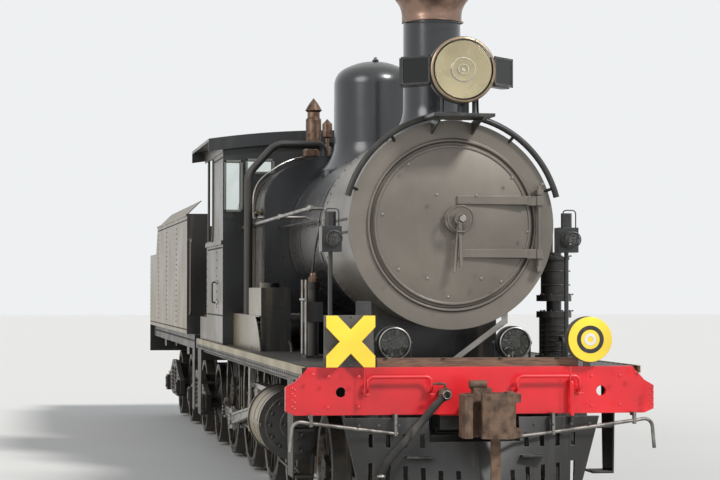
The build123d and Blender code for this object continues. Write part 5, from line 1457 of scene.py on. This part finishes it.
@dataclass
class PumpAndLubricator:
    """Flange bolts, ribs and pipes of the air pump, and the bars, cups and feed pipe of the lubricator."""

    pump: Pair = (1.010, 1.500)
    # Z and radius of each flange's bolt circle
    flanges: tuple[Pair, ...] = ((1.262, 0.134), (1.610, 0.125), (1.740, 0.125), (2.045, 0.112))
    feed: tuple[Point, ...] = (
        (-0.86, 2.15, 1.90), (-0.84, 2.15, 2.10), (-0.78, 2.25, 2.30), (-0.76, 2.60, 2.36),
        (-0.80, 4.57, 2.36))

    def build(self) -> None:
        """Makes the pieces."""
        x, s = self.pump
        bolts = [p for z, r in self.flanges for p in ring_places(at(x, s, z), "Z", r, 10, 0.3, UPWARD)]
        dress(studs("air_pump_bolts", bolts, 0.009, 0.012, 6), Shade.CHASSIS)
        ribs = [(1.30 + 0.04 * k, 0.120, (0.012, 0.006)) for k in range(6)]
        ribs += [(z, 0.107, (0.010, 0.004)) for z in (1.82, 1.93)]
        made = [ring("rib", z, r, size, at(x, s, 0), "Z", 40) for z, r, size in ribs]
        dress(join(made, "air_pump_ribs"), Shade.CHASSIS)
        steam = route((x, s + 0.10, 1.88), (x, s + 0.19, 1.88), (x, s + 0.19, 2.30), (0.86, s + 0.19, 2.62),
                      (0.66, s + 0.19, 2.62))
        dress(bar("air_pump_steam_pipe", steam, 0.022, 0.10), Shade.CHASSIS)
        air = route((x, s - 0.11, 1.40), (x, s - 0.20, 1.40), (x, s - 0.20, 1.225))
        dress(bar("air_pump_delivery_pipe", air, 0.016, 0.05), Shade.CHASSIS)
        rods = [bar("rod", route((-0.935, t, 1.26), (-0.935, t, 1.86)), 0.012) for t in (1.97, 2.18)]
        rods.append(bar("rod", route((-0.945, 1.93, 1.70), (-0.945, 2.22, 1.70)), 0.011))
        dress(join(rods, "lubricator_rods"), Shade.STEEL)
        cup = ((0, 0), (0, 0.030), (0.03, 0.034), (0.05, 0.020), (0.075, 0.016), (0.08, 0))
        cups = [turned("cup", cup, at(-0.86, t, 1.840), "Z", 20) for t in (2.0, 2.15)]
        dress(join(cups, "lubricator_cups"), Shade.VALVES)
        dress(bar("lubricator_feed_pipe", route(*self.feed), 0.009, 0.12), Shade.CHASSIS)


@dataclass
class FrontGear:
    """Bolts of the pilot and couplers, the uncoupling link, and the hose's cock, clips and blank plug."""

    # Word, heading, S of the coupling line and body of each coupler
    couplers: tuple[tuple[str, int, float, str], ...] = (
        ("front", -1, -0.55, "engine"), ("rear", 1, 15.92, "tender"))
    hose: Pair = (-0.225, 1.040)
    plug: Pair = (-0.700, -0.120)

    def build(self) -> None:
        """Makes the pieces."""
        rows = ((0.42, 0.82), (0.56, 0.82), (0.70, 0.82), (0.84, 0.82),
                (0.20, 0.165), (0.36, 0.165), (0.52, 0.165), (0.66, 0.165))
        heads = [(self.on_pilot(side * x, z), FORWARD) for side in SIDES for x, z in rows]
        dress(studs("pilot_bolts", heads, 0.013, 0.010, 6), Shade.PILOT)
        foot = bar("pilot_foot_rail", [self.on_pilot(x, 0.140) for x in (-0.75, 0, 0.75)], 0.011, 0.03)
        dress(foot, Shade.PILOT)
        for word, heading, line, body in self.couplers:
            self.coupler(word, heading, line, body)
        link = route((0.140, -0.330, 0.735), (0.060, -0.300, 0.800), (0.0, -0.292, 1.085))
        dress(bar("uncoupling_link", link, 0.007, 0.05), Shade.RUST)
        self.hose_ends()

    def on_pilot(self, x: float, z: float) -> Vector:
        """Returns the place on the pilot's front at X and Z.

        Args:
            x: X of the place.
            z: Z of the place.

        Returns:
            The place in the scene.
        """
        share = (z - 0.130) / 0.740
        half, nose, edge = 0.760 + 0.180 * share, -0.360 + 0.300 * share, 0.060 - 0.060 * share
        return at(x, nose + (edge - nose) * abs(x) / half - 0.004, z)

    def coupler(self, word: str, heading: int, line: float, body: str) -> None:
        """Makes the pin and the bolts of one coupler.

        Args:
            word: The coupler's word in the names.
            heading: The way it faces along S.
            line: S of its coupling line.
            body: The body that carries it.
        """
        pin = ((0.745, 0), (0.745, 0.030), (0.755, 0.030), (0.755, 0.019), (1.055, 0.019), (1.055, 0.032),
               (1.072, 0.030), (1.078, 0))
        place = at(-heading * 0.165, line - heading * 0.175, 0)
        dress(turned(word + "_coupler_pin", pin, place, "Z", 24), Shade.RUST, body)
        bolts = [(at(x, line - heading * 0.245, 1.055), UPWARD) for x in (-0.06, 0.10)]
        bolts += [(at(-heading * 0.115 + dx, line - heading * 0.30, 1.055), UPWARD) for dx in (-0.03, 0.03)]
        dress(studs(word + "_coupler_bolts", bolts, 0.014, 0.012, 6), Shade.RUST, body)

    def hose_ends(self) -> None:
        """Makes the hose's cock, clips and blank coupling."""
        x, z = self.hose
        top, low = at(x, 0, z), at(*self.plug, 0)
        clips = [ring("clip", reach, 0.028, (0.018, 0.005), top, "Y", 32) for reach in (-0.075, -0.105)]
        clips.append(ring("clip", 0.475, 0.028, (0.016, 0.005), low, "Z", 32))
        dress(join(clips, "hose_clips"), Shade.STEEL)
        cock = ((-0.058, 0), (-0.058, 0.044), (-0.040, 0.050), (-0.016, 0.050), (0, 0.042), (0, 0))
        dress(turned("hose_cock", cock, top, "Y", 8), Shade.RUST)
        grip = route((x, -0.030, 1.085), (x, -0.030, 1.115), (-0.310, -0.030, 1.115))
        dress(bar("hose_cock_handle", grip, 0.009, 0.02), Shade.RUST)
        blank_end = ((0.398, 0), (0.398, 0.030), (0.405, 0.042), (0.425, 0.043), (0.432, 0.040), (0.432, 0))
        dress(turned("hose_blank_coupling", blank_end, low, "Z", 32), Shade.RUST)


@dataclass
class TenderTrim:
    """Rivets along the sheets and seams, lamp irons, tool box and bogie springs of the tender."""

    half: float = 1.300
    span: Pair = (8.98, 15.37)
    heights: Pair = (1.27, 2.65)
    # S of each upright row of rivets and where the tank ends above it
    uprights: tuple[Pair, ...] = (
        (9.03, 2.65), (10.60, 2.65), (10.66, 2.65), (12.20, 2.65), (12.26, 2.65), (13.72, 2.65),
        (13.78, 2.65), (15.32, 2.27))
    pitch: float = 0.07
    pivots: Pair = (10.2, 13.9)

    def build(self) -> None:
        """Makes the pieces."""
        self.rivets()
        box = [slab("tool_box", at(-0.95, 14.45, 2.27), at(-0.35, 14.75, 2.47), 0.010),
               slab("lid", at(-0.965, 14.435, 2.47), at(-0.335, 14.765, 2.49), 0.004)]
        box += [slab("hasp", at(x, 14.430, 2.42), at(x + 0.03, 14.440, 2.485), 0.002) for x in (-0.82, -0.51)]
        dress(join(box, "tender_tool_box"), Shade.TENDER, body="tender")
        s = self.span[1]
        near, far = s - 0.004, s + 0.035
        irons = [bar("iron", route((x, near, 2.05), (x, far, 2.05), (x, far, 2.15)), 0.009, 0.02)
                 for x in (-1.05, 0.0)]
        irons += [ring("ring", 0, 0.040, (0.012, 0.007), at(x, s, 2.31), "X", 24)
                  for x, s in grid((-1.1, 1.1), (14.5, 15.2))]
        dress(join(irons, "tender_irons_and_rings"), Shade.CHASSIS, body="tender")
        grip = route((-0.07, 14.93, 2.435), (-0.07, 14.93, 2.465), (0.07, 14.93, 2.465), (0.07, 14.93, 2.435))
        handle = [slab("rest", at(-0.05, 14.99, 2.415), at(0.05, 15.03, 2.43)),
                  bar("grip", grip, 0.007, 0.02)]
        dress(join(handle, "filler_lid_grip"), Shade.CHASSIS, body="filler_lid")
        for number, s in enumerate(self.pivots, start=1):
            self.bogie("tender_bogie_" + str(number), s)

    def rivets(self) -> None:
        """Makes the rivets of the tank's sides and rear sheet, and the sill's bolts."""
        (s0, s1), (z0, z1) = self.span, self.heights
        rows = [(s0 + 0.05, z0 + 0.05, s1 - 0.05, z0 + 0.05, 90),
                (s0 + 0.05, z1 - 0.07, 13.80, z1 - 0.07, 68)]
        rows += [(s, z0 + 0.12, s, top - 0.13, int((top - z0) / self.pitch)) for s, top in self.uprights]
        places = side_rows(self.half, rows)
        for first, last, count in (((-1.25, s1, z0 + 0.05), (1.25, s1, z0 + 0.05), 36),
                                   ((-1.25, s1, 2.21), (1.25, s1, 2.21), 36),
                                   *(((x, s1, z0 + 0.12), (x, s1, 2.14), 13) for x in (-1.25, 0, 1.25))):
            places += line_places(at(*first), at(*last), count, BACKWARD)
        dress(studs("tender_rivets", places, 0.008, 0.005, 6), Shade.TENDER, body="tender")
        sill = side_rows(1.24, ((8.75, 1.20, 15.2, 1.20, 44),))
        dress(studs("tender_sill_bolts", sill, 0.011, 0.008, 6), Shade.CHASSIS, body="tender")

    def bogie(self, body: str, s: float) -> None:
        """Makes the coil springs and box bolts of one tender bogie.

        Args:
            body: The bogie's body.
            s: S of its pivot.
        """
        turns, steps, reach = 6, 14, 0.052
        coils = []
        for side, way in grid(SIDES, SIDES):
            points = [at(side * 1.030 + reach * cos(2 * pi * k / steps),
                         s + way * 0.215 + reach * sin(2 * pi * k / steps),
                         0.390 + 0.320 * k / (turns * steps)) for k in range(turns * steps + 1)]
            coils.append(bar("coil", points, 0.011, 0, 2))
        dress(join(coils, body + "_springs"), Shade.CHASSIS, body=body)
        bolts = []
        for side in SIDES:
            for axle in (s - 0.875, s + 0.875):
                bolts += side_heads(side, 1.112, grid((axle - 0.06, axle + 0.06), (0.407, 0.517)))
                bolts += side_heads(side, 1.060, grid((axle - 0.15, axle + 0.15), (0.600,)))
            bolts += side_heads(side, 1.060, grid((s - 0.05, s + 0.05), (0.36, 0.50, 0.64, 0.77)))
        dress(studs(body + "_bolts", bolts, 0.012, 0.010, 6), Shade.CHASSIS, body=body)


@dataclass
class Studio:
    """The camera at the photograph's angle, the pale floor, the background and the light."""

    focal: float = 100.473
    camera: Point = (-3.22328, -14.0, 1.78432)
    yaw: float = 9.6897
    pitch: float = 1.40314
    roll: float = -0.0645
    sensor: float = 36
    sight: float = 500
    floor_size: float = 240
    floor_colour: str = "#d9d7d2"
    # Colour and strength of the world's light, and of the background as the camera sees it
    soft: tuple[str, float] = ("#dfe6f0", 0.5)
    pale: tuple[str, float] = ("#eef0f2", 1.0)
    # Turn in degrees, strength and angular size of the lamps
    lamps: tuple[tuple[str, Point, float, float], ...] = (
        ("key", (50, 0, 34), 3.0, 10), ("fill", (66, 0, -50), 1.1, 30))

    def build(self) -> None:
        """Makes camera, floor, world and lamps."""
        data = bpy.data.cameras.new("camera")
        data.lens = self.focal
        data.sensor_width = self.sensor
        data.clip_end = self.sight
        eye = bpy.data.objects.new("camera", data)
        eye.location = at(*self.camera)
        eye.rotation_euler = (radians(90 + self.pitch), radians(self.roll), radians(-self.yaw))
        bpy.context.scene.collection.objects.link(eye)
        bpy.context.scene.camera = eye
        bpy.context.scene.view_settings.view_transform = "Standard"
        self.floor()
        self.world()
        for name, turn, strength, angle in self.lamps:
            lamp = bpy.data.lights.new(name, "SUN")
            lamp.energy = strength
            lamp.angle = radians(angle)
            holder = bpy.data.objects.new(name, lamp)
            holder.rotation_euler = [radians(v) for v in turn]
            bpy.context.scene.collection.objects.link(holder)

    def floor(self) -> None:
        """Makes the plain pale floor, which shows as near white behind its shadow."""
        deselect()
        bpy.ops.mesh.primitive_plane_add(size=self.floor_size, location=(0, 0, 0))
        plane = settle()
        plane.name = "studio_floor"
        material, tree, shader, _ = new_material("pale_floor")
        feed(tree, shader, {"Base Color": linear(self.floor_colour), "Roughness": 0.9})
        plane.data.materials.append(material)

    def world(self) -> None:
        """Gives the background its pale colour to camera, gloss and glass, and soft light elsewhere."""
        world = bpy.data.worlds.new("studio")
        bpy.context.scene.world = world
        world.use_nodes = True
        tree = world.node_tree
        tree.nodes.clear()
        path = add_node(tree, "ShaderNodeLightPath")
        seen = combine(tree, "MAXIMUM", path.outputs["Is Camera Ray"], path.outputs["Is Transmission Ray"])
        shown = combine(tree, "MAXIMUM", seen, path.outputs["Is Glossy Ray"])
        soft, pale = (add_node(tree, "ShaderNodeBackground", {"Color": linear(colour), "Strength": strength})
                      for colour, strength in (self.soft, self.pale))
        both = add_node(tree, "ShaderNodeMixShader", {0: shown, 1: soft.outputs[0], 2: pale.outputs[0]})
        add_node(tree, "ShaderNodeOutputWorld", {"Surface": both.outputs[0]})


def main() -> None:
    """Builds the scene in order."""
    logging.basicConfig(level=logging.INFO)
    for part in (CadFinishes(), SmokeboxFront(), HeadLamp(), RoundLamps(), BeamFittings(), SignalPlates(),
                 ChimneyAndDome(), BoilerFittings(), CabTrim(), CabInside(), RunningGear(), BoardsAndFrames(),
                 PumpAndLubricator(), FrontGear(), TenderTrim(), Studio()):
        part.build()
        LOG.info("built %s", type(part).__name__)


if __name__ == "__main__":
    main()
